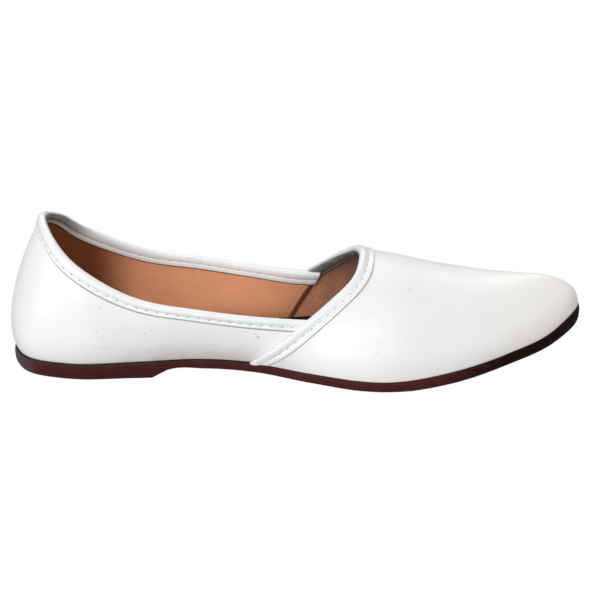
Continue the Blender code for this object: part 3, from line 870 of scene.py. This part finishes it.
STRIP_ROLL = 1.55       # height of a strip's rolled edge over the wall
STRIP_FLAT = 0.75       # height of the flat band beyond the stitches
STRIP_FOLD = 1.2        # how far a fold stands past the edge
GROOVE = 0.45           # how deep the stitches pull the strip in
DIMPLE = 0.22           # how much deeper a needle hole is
DIMPLE_RADIUS = 0.55
PUCKER = 0.16           # how far the band bulges between two needle holes
PUCKER_WIDTH = 0.9
BAND_AWAY = 1.3         # from the stitches to the bulge on the band
ROLL_AWAY = 1.4         # from the stitches to the lower bulge on the roll
ROLL_PUCKER = 0.5       # height of that one as a share of the other
TOUCH = 0.02            # from a strip to the leather under it
COLLAR_BEVEL = 1.0      # how far the collar strip's raw edge is skived
THROAT_BEVEL = 0.25     # the same of the throat strip
TURN_BEVEL = 0.7        # the same inside
END_CLEARANCE = 1.0     # from the quarter's front to the collar strip's end
OUTER_ROW, INNER_ROW = 6, 5         # places of the stitch rows in a strip's section
STRIP_OUTER_POINTS = 14             # points of a section outside, from the raw edge to the fold
BACK_POINTS = 5         # points of a section that lie on the leather
COLLAR_STEPS = 960      # along the whole collar strip
THROAT_STEPS = 110      # along a quarter of the throat strip

# Along the collar strip, from the back of the heel (0) to its front end (1): shares of its sizes above
# the stitches, below them, inside and over the edge, and how much painted shade it has inside.
COLLAR_COLUMNS = ("share", "roll", "band", "turn", "fold", "shaded")
COLLAR = (
    (0.00, 0.88, 0.62, 0.62, 1.0, 0.92),
    (0.10, 0.85, 0.52, 0.72, 1.2, 0.92),
    (0.20, 0.77, 0.62, 0.88, 1.6, 0.70),
    (0.28, 0.70, 0.78, 0.98, 1.6, 0.16),
    (0.37, 0.68, 0.84, 1.00, 1.3, 0.0),
    (0.50, 0.70, 0.78, 1.00, 1.0, 0.0),
    (0.84, 0.70, 0.78, 1.06, 1.0, 0.0),
    (1.00, 0.70, 0.78, 1.30, 1.0, 0.0),
)
COLLAR_CURVES = table_curves(COLLAR_COLUMNS, COLLAR, "share")

# Along the throat strip, from the near sole (0) over the ridge to the far sole (1): how far its fold
# stands past the edge.
THROAT_FOLDS = (
    (0.0, 1.0), (0.30, 1.0), (0.50, 0.5), (0.57, 1.6), (0.66, 2.4), (0.75, 2.4), (0.85, 1.4), (1.0, 1.0))
THROAT_SHADE = 0.92      # how much painted shade the throat strip's turn has
THROAT_SHADE_EVEN = 0.9       # share of its turn over which that shade is even
COLLAR_SHADE_EVEN = 0.5       # the same of the collar strip
PRESSED = 0.50          # height of the throat strip where the sole holds it
PRESSED_WIDTH = 0.75    # its width there
PRESSED_RIB = 0.30      # share of a rib within which it is pressed
PRESSED_POWER = 4       # how square its domed section is there


def strip_section(width, turn, row, inside_row, inside, bevel):
    """Section of a folded strip, from raw edge to raw edge: way in from the edge, and height.

    inside is the height of the wall's inner face, and bevel is how far the raw edge is skived. The
    places of the two stitch rows follow.
    """
    roll, flat, top = STRIP_ROLL, STRIP_FLAT, STRIP_FOLD
    skived = width - bevel
    turned = turn - TURN_BEVEL
    outer = (
        (width, TOUCH), (skived, flat - 0.1), (skived - 0.2, flat), (skived - 0.5, flat + 0.05),
        (row + 1.0, flat + 0.08), (row + 0.45, flat - GROOVE * 0.5), (row, flat - GROOVE),
        (row - 0.45, flat - GROOVE * 0.4), (row - 1.0, flat + 0.15), (row - 1.8, roll - 0.2),
        (row - 2.7, roll), (0.5, roll - 0.1), (-0.45 * top, roll - 0.5), (-0.85 * top, 0.1))
    fold = ((-top, inside / 2),)
    inner = (
        (-0.85 * top, inside - 0.1), (-0.45 * top, inside - 0.6), (0.5, inside - 0.85),
        (inside_row - 0.9, inside - 0.9), (inside_row - 0.4, inside - 0.75),
        (inside_row, inside - 0.9 + GROOVE), (inside_row + 0.4, inside - 0.75),
        (inside_row + 0.9, inside - 0.85), (turned - 0.3, inside - 0.7), (turned, inside - 0.6),
        (turn, inside - TOUCH))
    back = ((turn * 0.4, inside - TOUCH), (0.0, inside - TOUCH), (0.0, TOUCH), (width * 0.4, TOUCH))
    return np.array(outer + fold + inner + back), OUTER_ROW, len(outer) + len(fold) + INNER_ROW


def run_length(line):
    """Distance along a line of points to each of them."""
    steps = np.linalg.norm(np.diff(line, axis=0), axis=1)
    return np.concatenate(((0.0,), np.cumsum(steps)))


def sewn_height(inward, row, along, pitch):
    """Change of a strip's height near its stitches: a dimple at each hole, a pucker between two."""
    phase = np.abs((along / pitch + 0.5) % 1.0 - 0.5) * pitch
    dimple = np.exp(-(phase / DIMPLE_RADIUS) ** 2)[:, None] * np.exp(-((inward - row) / DIMPLE_RADIUS) ** 2)
    band = np.exp(-((inward - row - BAND_AWAY) / PUCKER_WIDTH) ** 2)
    roll = np.exp(-((inward - row + ROLL_AWAY) / PUCKER_WIDTH) ** 2)
    pucker = (1.0 - np.cos(2.0 * math.pi * phase / pitch))[:, None] / 2.0
    return PUCKER * pucker * (band + ROLL_PUCKER * roll) - DIMPLE * dimple


def close_ends(bm):
    """Fill the open ends of a tube."""
    rim = [edge for edge in bm.edges if edge.is_boundary]
    bmesh.ops.holes_fill(bm, edges=rim, sides=0)
    bmesh.ops.recalc_face_normals(bm, faces=bm.faces)
    return bm


class Strip:
    """A folded strip: its section carried along an edge, with a stitch row outside and inside."""

    def __init__(self, width, turn, row, inside_row, bevel, place, shade_strength, even_shade_share):
        own = sizes()
        inside = -in_mm(own.leather + own.lining) - LAYER_GAP
        pitch = in_mm(own.stitch_pitch)
        profile, outer, inner = strip_section(width, turn, row, inside_row, inside, bevel)
        inward, height = profile[:, 0], profile[:, 1]
        self.fixed = len(profile) - BACK_POINTS
        # Painted shade on the turned-in part, fading out at its raw edge.
        turned_in = ramp(height, inside / 4, inside) * ramp(inward, turn, turn * even_shade_share)
        self.soil_and_shade = shade_strength * turned_in
        plain = place(inward, height)
        along, along_inside = run_length(plain[:, outer]), run_length(plain[:, inner])
        raised = sewn_height(inward, row, along, pitch)
        pulled = sewn_height(inward, inside_row, along_inside, pitch)
        change = np.where(height > 0.0, raised, -pulled)
        change[:, 0] = 0.0
        change[:, self.fixed:] = 0.0
        sewn = height + change
        self.points = place(inward, np.where(height > 0.0, np.maximum(sewn, TOUCH), sewn))
        outs = unit(plain - place(inward, height - 1.0))
        self.rows = (
            (self.points[:, outer], outs[:, outer], along),
            (self.points[:, inner], -outs[:, inner], along_inside))

    def mesh(self):
        """The strip's closed mesh, with its materials' numbers as strip_materials lists them."""
        rows = dict.fromkeys(range(STRIP_OUTER_POINTS, self.fixed), 2) | {0: 1, self.fixed - 1: 3}
        return close_ends(mapped_grid(self.points, self.soil_and_shade, closed=True, rows_in=rows))


def collar_rise(t, side):
    """Direction up the quarter, square to its upper edge."""
    v = np.full(t.shape, EDGE_SHARE)
    along, _ = surface_slopes(t, v, side)
    rise = np.cross(normals(t, v, side), along)
    return unit(rise) * np.sign(rise[..., 2])[..., None]


def collar_ends(down, side):
    """Where the collar strip ends at some depths below the edge, slanted along the quarter's front."""
    v = np.full(down.shape, EDGE_SHARE)
    side = np.full(down.shape, side)
    t = place_on_edge(FRONT_CURVE, v, side, 0.0)
    along, _ = surface_slopes(t, v, side)
    at, lower = slide(t, v, side, collar_rise(t, side), -down)
    clearance = END_CLEARANCE / np.linalg.norm(along, axis=-1)
    return t + place_on_edge(FRONT_CURVE, lower, side, 0.0) - at - clearance


@functools.cache
def collar_strip():
    """The strip over the quarter's upper edge, from one front end round the heel to the other."""
    own = sizes()
    side, share = spread_heel(COLLAR_STEPS)
    shares = [read_curve(COLLAR_CURVES[name], share) for name in COLLAR_COLUMNS[1:]]
    roll, band, turn, fold, shade_strength = (values[:, None] for values in shares)
    row = in_mm(own.collar_row)

    def place(inward, height):
        down = np.maximum(inward, 0.0)
        ends = np.where(side[:, None] < 0.0, collar_ends(down, -1.0), collar_ends(down, 1.0))
        t = share[:, None] * ends
        sides = np.broadcast_to(side[:, None], t.shape)
        rise = collar_rise(t, sides)
        outside = np.minimum(down, row) * roll + np.maximum(down - row, 0.0) * band
        way = np.where(height < 0.0, down * turn, outside)
        at, v = slide(t, np.full(t.shape, EDGE_SHARE), sides, rise, -way)
        lift = rise * (np.maximum(-inward, 0.0) * fold)[..., None]
        return skin(at, v, sides, np.broadcast_to(height, t.shape)) + lift

    return Strip(in_mm(own.collar_width), in_mm(own.collar_turn), row,
                 in_mm(own.inside_row), COLLAR_BEVEL, place, shade_strength, COLLAR_SHADE_EVEN)


@functools.cache
def throat_strip():
    """The strip over the vamp's rear edge, from the sole over the instep to the sole."""
    own = sizes()
    width = in_mm(own.throat_width)
    v, side = across_vamp(THROAT_STEPS)
    t = place_on_edge(THROAT_CURVE, v, side, LAP_STEP)
    line = last_points(t, v, side)
    run = np.gradient(line, axis=0)
    ahead = unit(np.cross(run, normals(t, v, side)))
    ahead = ahead * np.sign(ahead[:, :1])
    free = ramp(v, 0.0, PRESSED_RIB)[:, None]
    fold = np.interp(np.linspace(0.0, 1.0, len(v)), *np.transpose(THROAT_FOLDS))[:, None]

    def place(inward, height):
        shape = (len(v), np.shape(inward)[-1])
        dome = PRESSED * (1.0 - (np.maximum(inward, 0.0) / width) ** PRESSED_POWER)
        pressed = np.where(inward > 0.0, dome, np.minimum(height, dome))
        height = np.where(height > 0.0, np.maximum(pressed + (height - pressed) * free, TOUCH), height)
        inward = inward * np.where(inward < 0.0, fold, PRESSED_WIDTH + (1.0 - PRESSED_WIDTH) * free)
        sides = np.broadcast_to(side[:, None], shape)
        starts = np.broadcast_to(t[:, None], shape)
        heights = np.broadcast_to(v[:, None], shape)
        forward = np.broadcast_to(ahead[:, None, :], shape + (3,))
        at, up = slide(starts, heights, sides, forward, np.broadcast_to(inward, shape))
        return skin(at, np.maximum(up, 0.0), sides, np.broadcast_to(height, shape) + LAP_STEP)

    return Strip(width, in_mm(own.throat_turn), in_mm(own.throat_row),
                 in_mm(own.inside_row), THROAT_BEVEL, place, np.full((len(v), 1), THROAT_SHADE), THROAT_SHADE_EVEN)


THREAD_FLAT = 0.8       # thickness of a thread as a share of its width
THREAD_BARE = 0.14      # share of the pitch, at each end of a thread, where it is sunk out of sight
HOLE_RISE = 0.04        # from the strip to the middle of a needle hole
COLLAR_HOLE = (0.40, 0.70, 0.13)    # half across, half along and half high
THROAT_HOLE = (0.30, 0.60, 0.11)
INNER_HOLE = (0.24, 0.50, 0.10)
THROAT_MARGIN = 12.0    # no stitches so close to the throat strip's ends
LINING_PITCH = 0.36     # stitches of the lining's front, as shares of the strips'
LINING_THREAD = 0.85
LINING_BARE = 0.32
LINING_ROW_BACK = 7.2   # from the quarter's front edge to the stitches of its lining
LINING_ROW_SPAN = (0.06, 0.36)      # shares of a rib between which they run
LINING_ROW_POINTS = 40
CEMENT_LUMPS = 9        # lumps of glue at each end of the throat strip
CEMENT_RADIUS = 0.7
LUMP_SHAPE = (1.5, 0.8, 0.9)        # along the shoe, across and high, in radii
LUMP_MEAN, LUMP_CHANGE, LUMP_TURN = 0.75, 0.35, 2.4     # uneven sizes, as a wave from lump to lump


def lining_row():
    """Lines of the short stitch rows behind the quarter's front edge, inside, one for each side."""
    own = sizes()
    inside = -in_mm(own.leather + own.lining) - LAYER_GAP
    rows = []
    for side in (-1.0, 1.0):
        v = np.linspace(*LINING_ROW_SPAN, LINING_ROW_POINTS)
        sides = np.full(v.shape, side)
        t = place_on_edge(FRONT_CURVE, v, sides, 0.0)
        along, _ = surface_slopes(t, v, sides)
        t = t - LINING_ROW_BACK / np.linalg.norm(along, axis=-1)
        line = skin(t, v, sides, inside)
        rows.append((line, -normals(t, v, sides), run_length(line)))
    return rows


def along_line(values, along, distance):
    """Values part of the way along a line."""
    return np.stack([np.interp(distance, along, values[:, i]) for i in range(3)], axis=-1)


def stretched(centre, pole, across, sizes_mm):
    """Matrix that puts a unit ball at a place, stretched along pole, across and square to both."""
    third = np.cross(pole, across)
    matrix = np.identity(4)
    for i, (axis, size) in enumerate(zip((across, third, pole), sizes_mm)):
        matrix[:3, i] = axis * size * MM
    matrix[:3, 3] = to_world(centre)
    return Matrix(matrix.tolist())


def hole_places(along, pitch, margin):
    """Distances of the needle holes along a row, with a margin at both ends."""
    return np.arange(math.ceil(margin / pitch), int((along[-1] - margin) / pitch) + 1) * pitch


def lay_threads(bm, row, pitch, thread, bare, margin):
    """Lay threads from hole to hole along a row.

    A row is a line of points, the directions out of the leather there and the distances along it.
    bare is the share of the pitch, at each end of a thread, where it is sunk out of sight.
    """
    line, outs, along = row
    starts = hole_places(along, pitch, margin)[:-1]
    first = along_line(line, along, starts + bare * pitch)
    second = along_line(line, along, starts + (1.0 - bare) * pitch)
    for a, b, up in zip(first, second, unit(along_line(outs, along, starts + pitch / 2))):
        pole = unit(b - a)
        across = unit(np.cross(up, pole))
        size = (thread / 2, thread * THREAD_FLAT / 2, np.linalg.norm(b - a) / 2)
        place = stretched((a + b) / 2, pole, across, size)
        bmesh.ops.create_uvsphere(bm, u_segments=8, v_segments=6, radius=1.0, matrix=place)


def prick_holes(bm, row, pitch, size, margin):
    """Put a grey mark, the painted shadow in a needle hole, at each pitch of a row. size is half across,
    half along and half high.
    """
    line, outs, along = row
    places = hole_places(along, pitch, margin)
    behind = along_line(line, along, places - size[1])
    ahead = along_line(line, along, places + size[1])
    for a, b, up in zip(behind, ahead, unit(along_line(outs, along, places))):
        across = unit(np.cross(up, b - a))
        place = stretched((a + b) / 2 + up * HOLE_RISE, unit(np.cross(b - a, across)), across, size)
        bmesh.ops.create_uvsphere(bm, u_segments=8, v_segments=5, radius=1.0, matrix=place)


def lap_cement():
    """Small lumps of glue where the throat strip's two ends meet the sole."""
    bm = bmesh.new()
    points = throat_strip().points
    for end in (points[0], points[-1]):
        line = end[:STRIP_OUTER_POINTS]
        along = run_length(line)
        for i in range(CEMENT_LUMPS):
            centre = along_line(line, along, along[-1] * (i + 0.5) / CEMENT_LUMPS)
            uneven = LUMP_MEAN + LUMP_CHANGE * math.sin(LUMP_TURN * i)
            size = CEMENT_RADIUS * uneven * np.array(LUMP_SHAPE)
            place = stretched(centre, np.array((0.0, 0.0, 1.0)), np.array((1.0, 0.0, 0.0)), size)
            bmesh.ops.create_uvsphere(bm, u_segments=10, v_segments=7, radius=1.0, matrix=place)
    return bm


def stations_between(count, *extra_x):
    """Places along the foot line: evenly spread ones, and those at some distances from the heel."""

    def is_behind(t):
        return track("foot_x", t) < np.array(extra_x)

    extra, _ = halve(is_behind, np.zeros(len(extra_x)), np.ones(len(extra_x)), HALVINGS)
    return np.sort(np.concatenate((np.linspace(0.0, 1.0, count + 1), extra)))


TOE_SPREAD = (262.0, 283.0)         # where the sole begins and ends to stand out farther at the toe
TOE_LIP = 1.0                       # how much farther it stands out there


def under_foot(stations, profile, height, spread=0.0):
    """Points of a closed band under the foot line: a half section down the near and the far side.

    spread is how much farther out it lies at the tip of the toe.
    """
    t = stations[:, None]
    nx, nw = outward(t)
    halves = []
    for side, rows in ((-1.0, profile), (1.0, profile[::-1])):
        out, share = rows[:, 0] + spread * ramp(track("foot_x", t), *TOE_SPREAD), rows[:, 1]
        x = track("foot_x", t) + nx * out
        w = np.maximum(track("foot_w", t) + nw * out, 0.0)
        halves.append(np.stack((x, middle(x) + side * w, height(x, share)), axis=-1))
    return np.concatenate(halves, axis=1)


# Half section of the sole: distance out from its lip, share of the way down its side.
SOLE_SECTION = (
    (-9.0, 0.0), (-2.2, 0.0), (-0.25, 0.0), (0.1, 0.05), (0.4, 0.16), (0.5, 0.34), (0.45, 0.52),
    (0.25, 0.7), (-0.1, 0.84), (-0.6, 0.94), (-1.4, 1.0), (-4.0, 1.0), (-10.0, 1.0),
)


def strip_materials(name, edge):
    """Materials of a strip: outside, raw edge, turn, and raw edge of the turn. The turn is a whiter, cooler
    copy of the strip leather as painted light, and the turn's raw edge is dark as painted shadow.
    """
    tints = colours()
    return [
        strip_leather(f"{name}_leather", tints.strip, tints.shaded),
        raw_edge(f"{name}_edge", edge),
        # The turn: painted light, a whiter copy of the strip leather.
        strip_leather(f"{name}_turn", tints.turn, tints.shaded),
        # Painted shadow along the turn's raw edge.
        raw_edge(f"{name}_turn_edge_shadow", tints.turn_edge_shadow),
    ]


class MOJARI_OT_collar_strip(bpy.types.Operator):
    """Add the strip folded over the quarter's upper edge"""

    bl_idname = "mojari.collar_strip"
    bl_label = "Collar strip"

    def execute(self, context):
        materials = strip_materials("collar", colours().collar_edge)
        add_piece("collar_strip", collar_strip().mesh(), materials, "binding", "collar_binding")
        return {"FINISHED"}


class MOJARI_OT_throat_strip(bpy.types.Operator):
    """Add the strip folded over the vamp's rear edge"""

    bl_idname = "mojari.throat_strip"
    bl_label = "Throat strip"

    def execute(self, context):
        materials = strip_materials("throat", colours().throat_edge)
        add_piece("throat_strip", throat_strip().mesh(), materials, "binding", "throat_binding")
        add_piece("lap_cement", lap_cement(), [plain_matt("cement", colours().cement, 0.5)], "binding")
        return {"FINISHED"}


class MOJARI_OT_stitches(bpy.types.Operator):
    """Sew the strips and the lining's front with thread"""

    bl_idname = "mojari.stitches"
    bl_label = "Stitches"

    def execute(self, context):
        own = sizes()
        pitch, thread = in_mm(own.stitch_pitch), in_mm(own.thread)
        threads, holes = bmesh.new(), bmesh.new()
        for strip, hole, margin in (
                (collar_strip(), COLLAR_HOLE, pitch), (throat_strip(), THROAT_HOLE, THROAT_MARGIN)):
            outer, inner = strip.rows
            lay_threads(threads, outer, pitch, thread, THREAD_BARE, margin)
            prick_holes(holes, outer, pitch, hole, margin)
            prick_holes(holes, inner, pitch, INNER_HOLE, margin)
        for row in lining_row():
            lay_threads(threads, row, pitch * LINING_PITCH, thread * LINING_THREAD, LINING_BARE, 0.0)
        white = plain_matt("thread", colours().thread, 0.6)
        # Grey marks at the needle holes: painted shadow.
        dark = plain_matt("needle_hole_shadow", colours().hole, 0.9)
        add_piece("threads", threads, [white], "binding")
        add_piece("needle_hole_shadows", holes, [dark], "binding")
        return {"FINISHED"}


SOCK_END = 134.0        # from the heel to the front of the leather sock
SOCK_EDGE = 0.3         # length of the sock's sloping front edge
BOARD_SHARE = 0.7       # thickness of the bare board in front, as a share of the insole's

# Half section of the insole: distance out from its inset, share of its thickness.
INSOLE_SECTION = (
    (-12.0, 1.0), (-4.0, 1.0), (-0.2, 1.0), (0.8, 0.92), (0.9, 0.7), (0.2, 0.2), (0.0, 0.0), (-3.0, 0.0),
)
INSOLE_STATIONS = 150
SOCK_SHADE, SOCK_SHADE_SPAN = 0.35, (120.0, 30.0)     # painted shade on the sock, growing to the heel
SOLE_STATIONS = 260
LOW_DUST, LOW_DUST_SPAN = 0.3, (2.0, 0.0)           # dust by height over the sole's lower face
BACK_DUST, BACK_DUST_SPAN = 0.95, (17.0, 1.0)       # dust at the back of the heel
TOP_LINE_ROWS = (1, 2)  # rows of the sole's section that show as the dark line


def cut_sock_front(bm):
    """Cut the sock straight across, and leave only the thinner board in front of it."""
    for x in (SOCK_END, SOCK_END + SOCK_EDGE):
        geometry = bm.verts[:] + bm.edges[:] + bm.faces[:]
        place = to_world(np.array((x, 0.0, 0.0)))
        bmesh.ops.bisect_plane(bm, geom=geometry, plane_co=place, plane_no=(1.0, 0.0, 0.0))
    edge_middle = to_world(np.array((SOCK_END + SOCK_EDGE / 2, 0.0, 0.0)))[0]
    board_start = to_world(np.array((SOCK_END + SOCK_EDGE + FINE, 0.0, 0.0)))[0]
    for face in bm.faces:
        face.material_index = int(face.calc_center_median().x > board_start)
    for vertex in bm.verts:
        if vertex.co.x > edge_middle:
            base = float(sole_top(vertex.co.x / MM + LENGTH / 2) + GAP) * MM
            vertex.co.z = base + (vertex.co.z - base) * BOARD_SHARE
    return bm


class MOJARI_OT_insole(bpy.types.Operator):
    """Add the leather sock on the sole"""

    bl_idname = "mojari.insole"
    bl_label = "Insole"

    def execute(self, context):
        own = sizes()
        profile = np.array(INSOLE_SECTION)
        profile[:, 0] -= in_mm(own.insole_inset)

        def height(x, share):
            return sole_top(x) + GAP + in_mm(own.insole) * share

        tints = colours()
        tan = lining_leather("tan_sock", tints.lining, tints.deep_shade)
        # The board's near-black colour is painted shade deep inside the forefoot.
        materials = [tan, plain_matt("insole_board_shade", tints.board, 0.8)]
        points = under_foot(stations_between(INSOLE_STATIONS), profile, height)
        soil_and_shade = SOCK_SHADE * ramp(points[..., 0], *SOCK_SHADE_SPAN)
        bm = cut_sock_front(mapped_grid(points, soil_and_shade, closed=True))
        add_piece("sock", bm, materials, "insole", "insole")
        return {"FINISHED"}


class MOJARI_OT_sole(bpy.types.Operator):
    """Add the moulded sole with its low heel, arch and toe spring"""

    bl_idname = "mojari.sole"
    bl_label = "Sole"

    def execute(self, context):
        profile = np.array(SOLE_SECTION)
        profile[:, 0] += in_mm(sizes().sole_lip)

        def height(x, share):
            return sole_top(x) * (1.0 - share) + sole_bottom(x) * share

        rubber = sole_rubber("sole_rubber", colours().sole, colours().dust)
        line = plain_matt("sole_line", colours().sole_line, 0.7)
        stations = stations_between(SOLE_STATIONS, BREAST_BACK, BREAST_FRONT)
        points = under_foot(stations, profile, height, TOE_LIP)
        x = points[..., 0]
        soil_and_shade = LOW_DUST * ramp(points[..., 2] - sole_bottom(x), *LOW_DUST_SPAN)
        soil_and_shade = soil_and_shade + BACK_DUST * ramp(x, *BACK_DUST_SPAN)
        far_rows = [points.shape[1] - 2 - row for row in TOP_LINE_ROWS]
        bm = mapped_grid(points, soil_and_shade, closed=True, rows_in=dict.fromkeys([*TOP_LINE_ROWS, *far_rows], 1))
        add_piece("sole", bm, [rubber, line], "outsole", "outsole")
        return {"FINISHED"}


# Camera, lights and floor, in metres.
CAMERA_TARGET = (0.0025, 0.0, 0.0310)
CAMERA_DISTANCE = 1.4
CAMERA_ELEVATION = 22.0
CAMERA_LENS = 167.4     # on a sensor 36 mm wide, for a square picture

# Soft square lights: name, place and power.
LIGHTS = (
    ("key", (-1.05, -1.05, 0.24), 16.3),
    ("front", (0.0, -1.27, 0.82), 8.2),
    ("rim", (0.0, 1.06, 1.09), 10.3),
    ("side", (1.29, -0.11, 0.78), 4.3),
)
LIGHT_SIZE = 1.0
LIGHT_TARGET = (0.0, 0.0, 0.03)
AMBIENT = 0.355         # strength of the light from all round
WHITE = (1.0, 1.0, 1.0, 1.0)
BLACK = (0.0, 0.0, 0.0, 1.0)
FLOOR_HALF = 4.0        # half the floor's width
FLOOR_FACES = 8         # along and across the floor
VIEW_END = 20.0         # farthest that the camera sees


def aim(item, target):
    """Turn a light or camera to look at a place."""
    direction = Vector(target) - item.location
    item.rotation_euler = direction.to_track_quat("-Z", "Y").to_euler()


class MOJARI_OT_stage(bpy.types.Operator):
    """Add the pale floor, the soft lights and the camera"""

    bl_idname = "mojari.stage"
    bl_label = "Stage"

    def execute(self, context):
        scene = context.scene
        bm = bmesh.new()
        bmesh.ops.create_grid(bm, x_segments=FLOOR_FACES, y_segments=FLOOR_FACES, size=FLOOR_HALF)
        mesh = bpy.data.meshes.new("floor")
        bm.to_mesh(mesh)
        bm.free()
        floor = bpy.data.objects.new("floor", mesh)
        scene.collection.objects.link(floor)
        pale = Finish("pale_floor")
        pale.set(base_color=BLACK, roughness=0.9, emission_color=WHITE, emission_strength=1.0,
                 specular_ior_level=0.0)
        mesh.materials.append(pale.material)
        floor.visible_diffuse = False
        floor.visible_glossy = False
        for name, place, power in LIGHTS:
            lamp = bpy.data.lights.new(name, "AREA")
            lamp.shape = "SQUARE"
            lamp.size = LIGHT_SIZE
            lamp.energy = power
            item = bpy.data.objects.new(name, lamp)
            item.location = place
            scene.collection.objects.link(item)
            aim(item, LIGHT_TARGET)
        world = bpy.data.worlds.new("studio")
        world.use_nodes = True
        glow = world.node_tree.nodes["Background"].inputs
        glow["Color"].default_value = WHITE
        glow["Strength"].default_value = AMBIENT
        scene.world = world
        scene.view_settings.view_transform = "Standard"
        camera = bpy.data.objects.new("camera", bpy.data.cameras.new("camera"))
        camera.data.lens = CAMERA_LENS
        camera.data.clip_end = VIEW_END
        tilt = math.radians(CAMERA_ELEVATION)
        away = Vector((0.0, -math.cos(tilt), math.sin(tilt))) * CAMERA_DISTANCE
        camera.location = Vector(CAMERA_TARGET) + away
        scene.collection.objects.link(camera)
        aim(camera, CAMERA_TARGET)
        scene.camera = camera
        return {"FINISHED"}


class MOJARI_PT_panel(bpy.types.Panel):
    """Lists the pieces of the mojari"""

    bl_idname = "MOJARI_PT_panel"
    bl_label = "Mojari"
    bl_space_type = "VIEW_3D"
    bl_region_type = "UI"
    bl_category = "Mojari"

    def draw(self, context):
        for group in (context.scene.mojari_sizes, context.scene.mojari_colours):
            for name in group.__annotations__:
                self.layout.prop(group, name)
        for operator in OPERATORS:
            self.layout.operator(operator.bl_idname)


OPERATORS = (
    MOJARI_OT_stage,
    MOJARI_OT_quarter,
    MOJARI_OT_vamp,
    MOJARI_OT_collar_strip,
    MOJARI_OT_throat_strip,
    MOJARI_OT_stitches,
    MOJARI_OT_insole,
    MOJARI_OT_sole,
)
CLASSES = (MojariSizes, MojariColours) + OPERATORS + (MOJARI_PT_panel,)


def register():
    for item in CLASSES:
        bpy.utils.register_class(item)
    bpy.types.Scene.mojari_sizes = bpy.props.PointerProperty(type=MojariSizes)
    bpy.types.Scene.mojari_colours = bpy.props.PointerProperty(type=MojariColours)


def unregister():
    del bpy.types.Scene.mojari_colours
    del bpy.types.Scene.mojari_sizes
    for item in reversed(CLASSES):
        bpy.utils.unregister_class(item)


def main():
    register()
    bpy.ops.mojari.stage()
    bpy.ops.mojari.quarter()
    bpy.ops.mojari.vamp()
    bpy.ops.mojari.collar_strip()
    bpy.ops.mojari.throat_strip()
    bpy.ops.mojari.stitches()
    bpy.ops.mojari.insole()
    bpy.ops.mojari.sole()


if __name__ == "__main__":
    main()
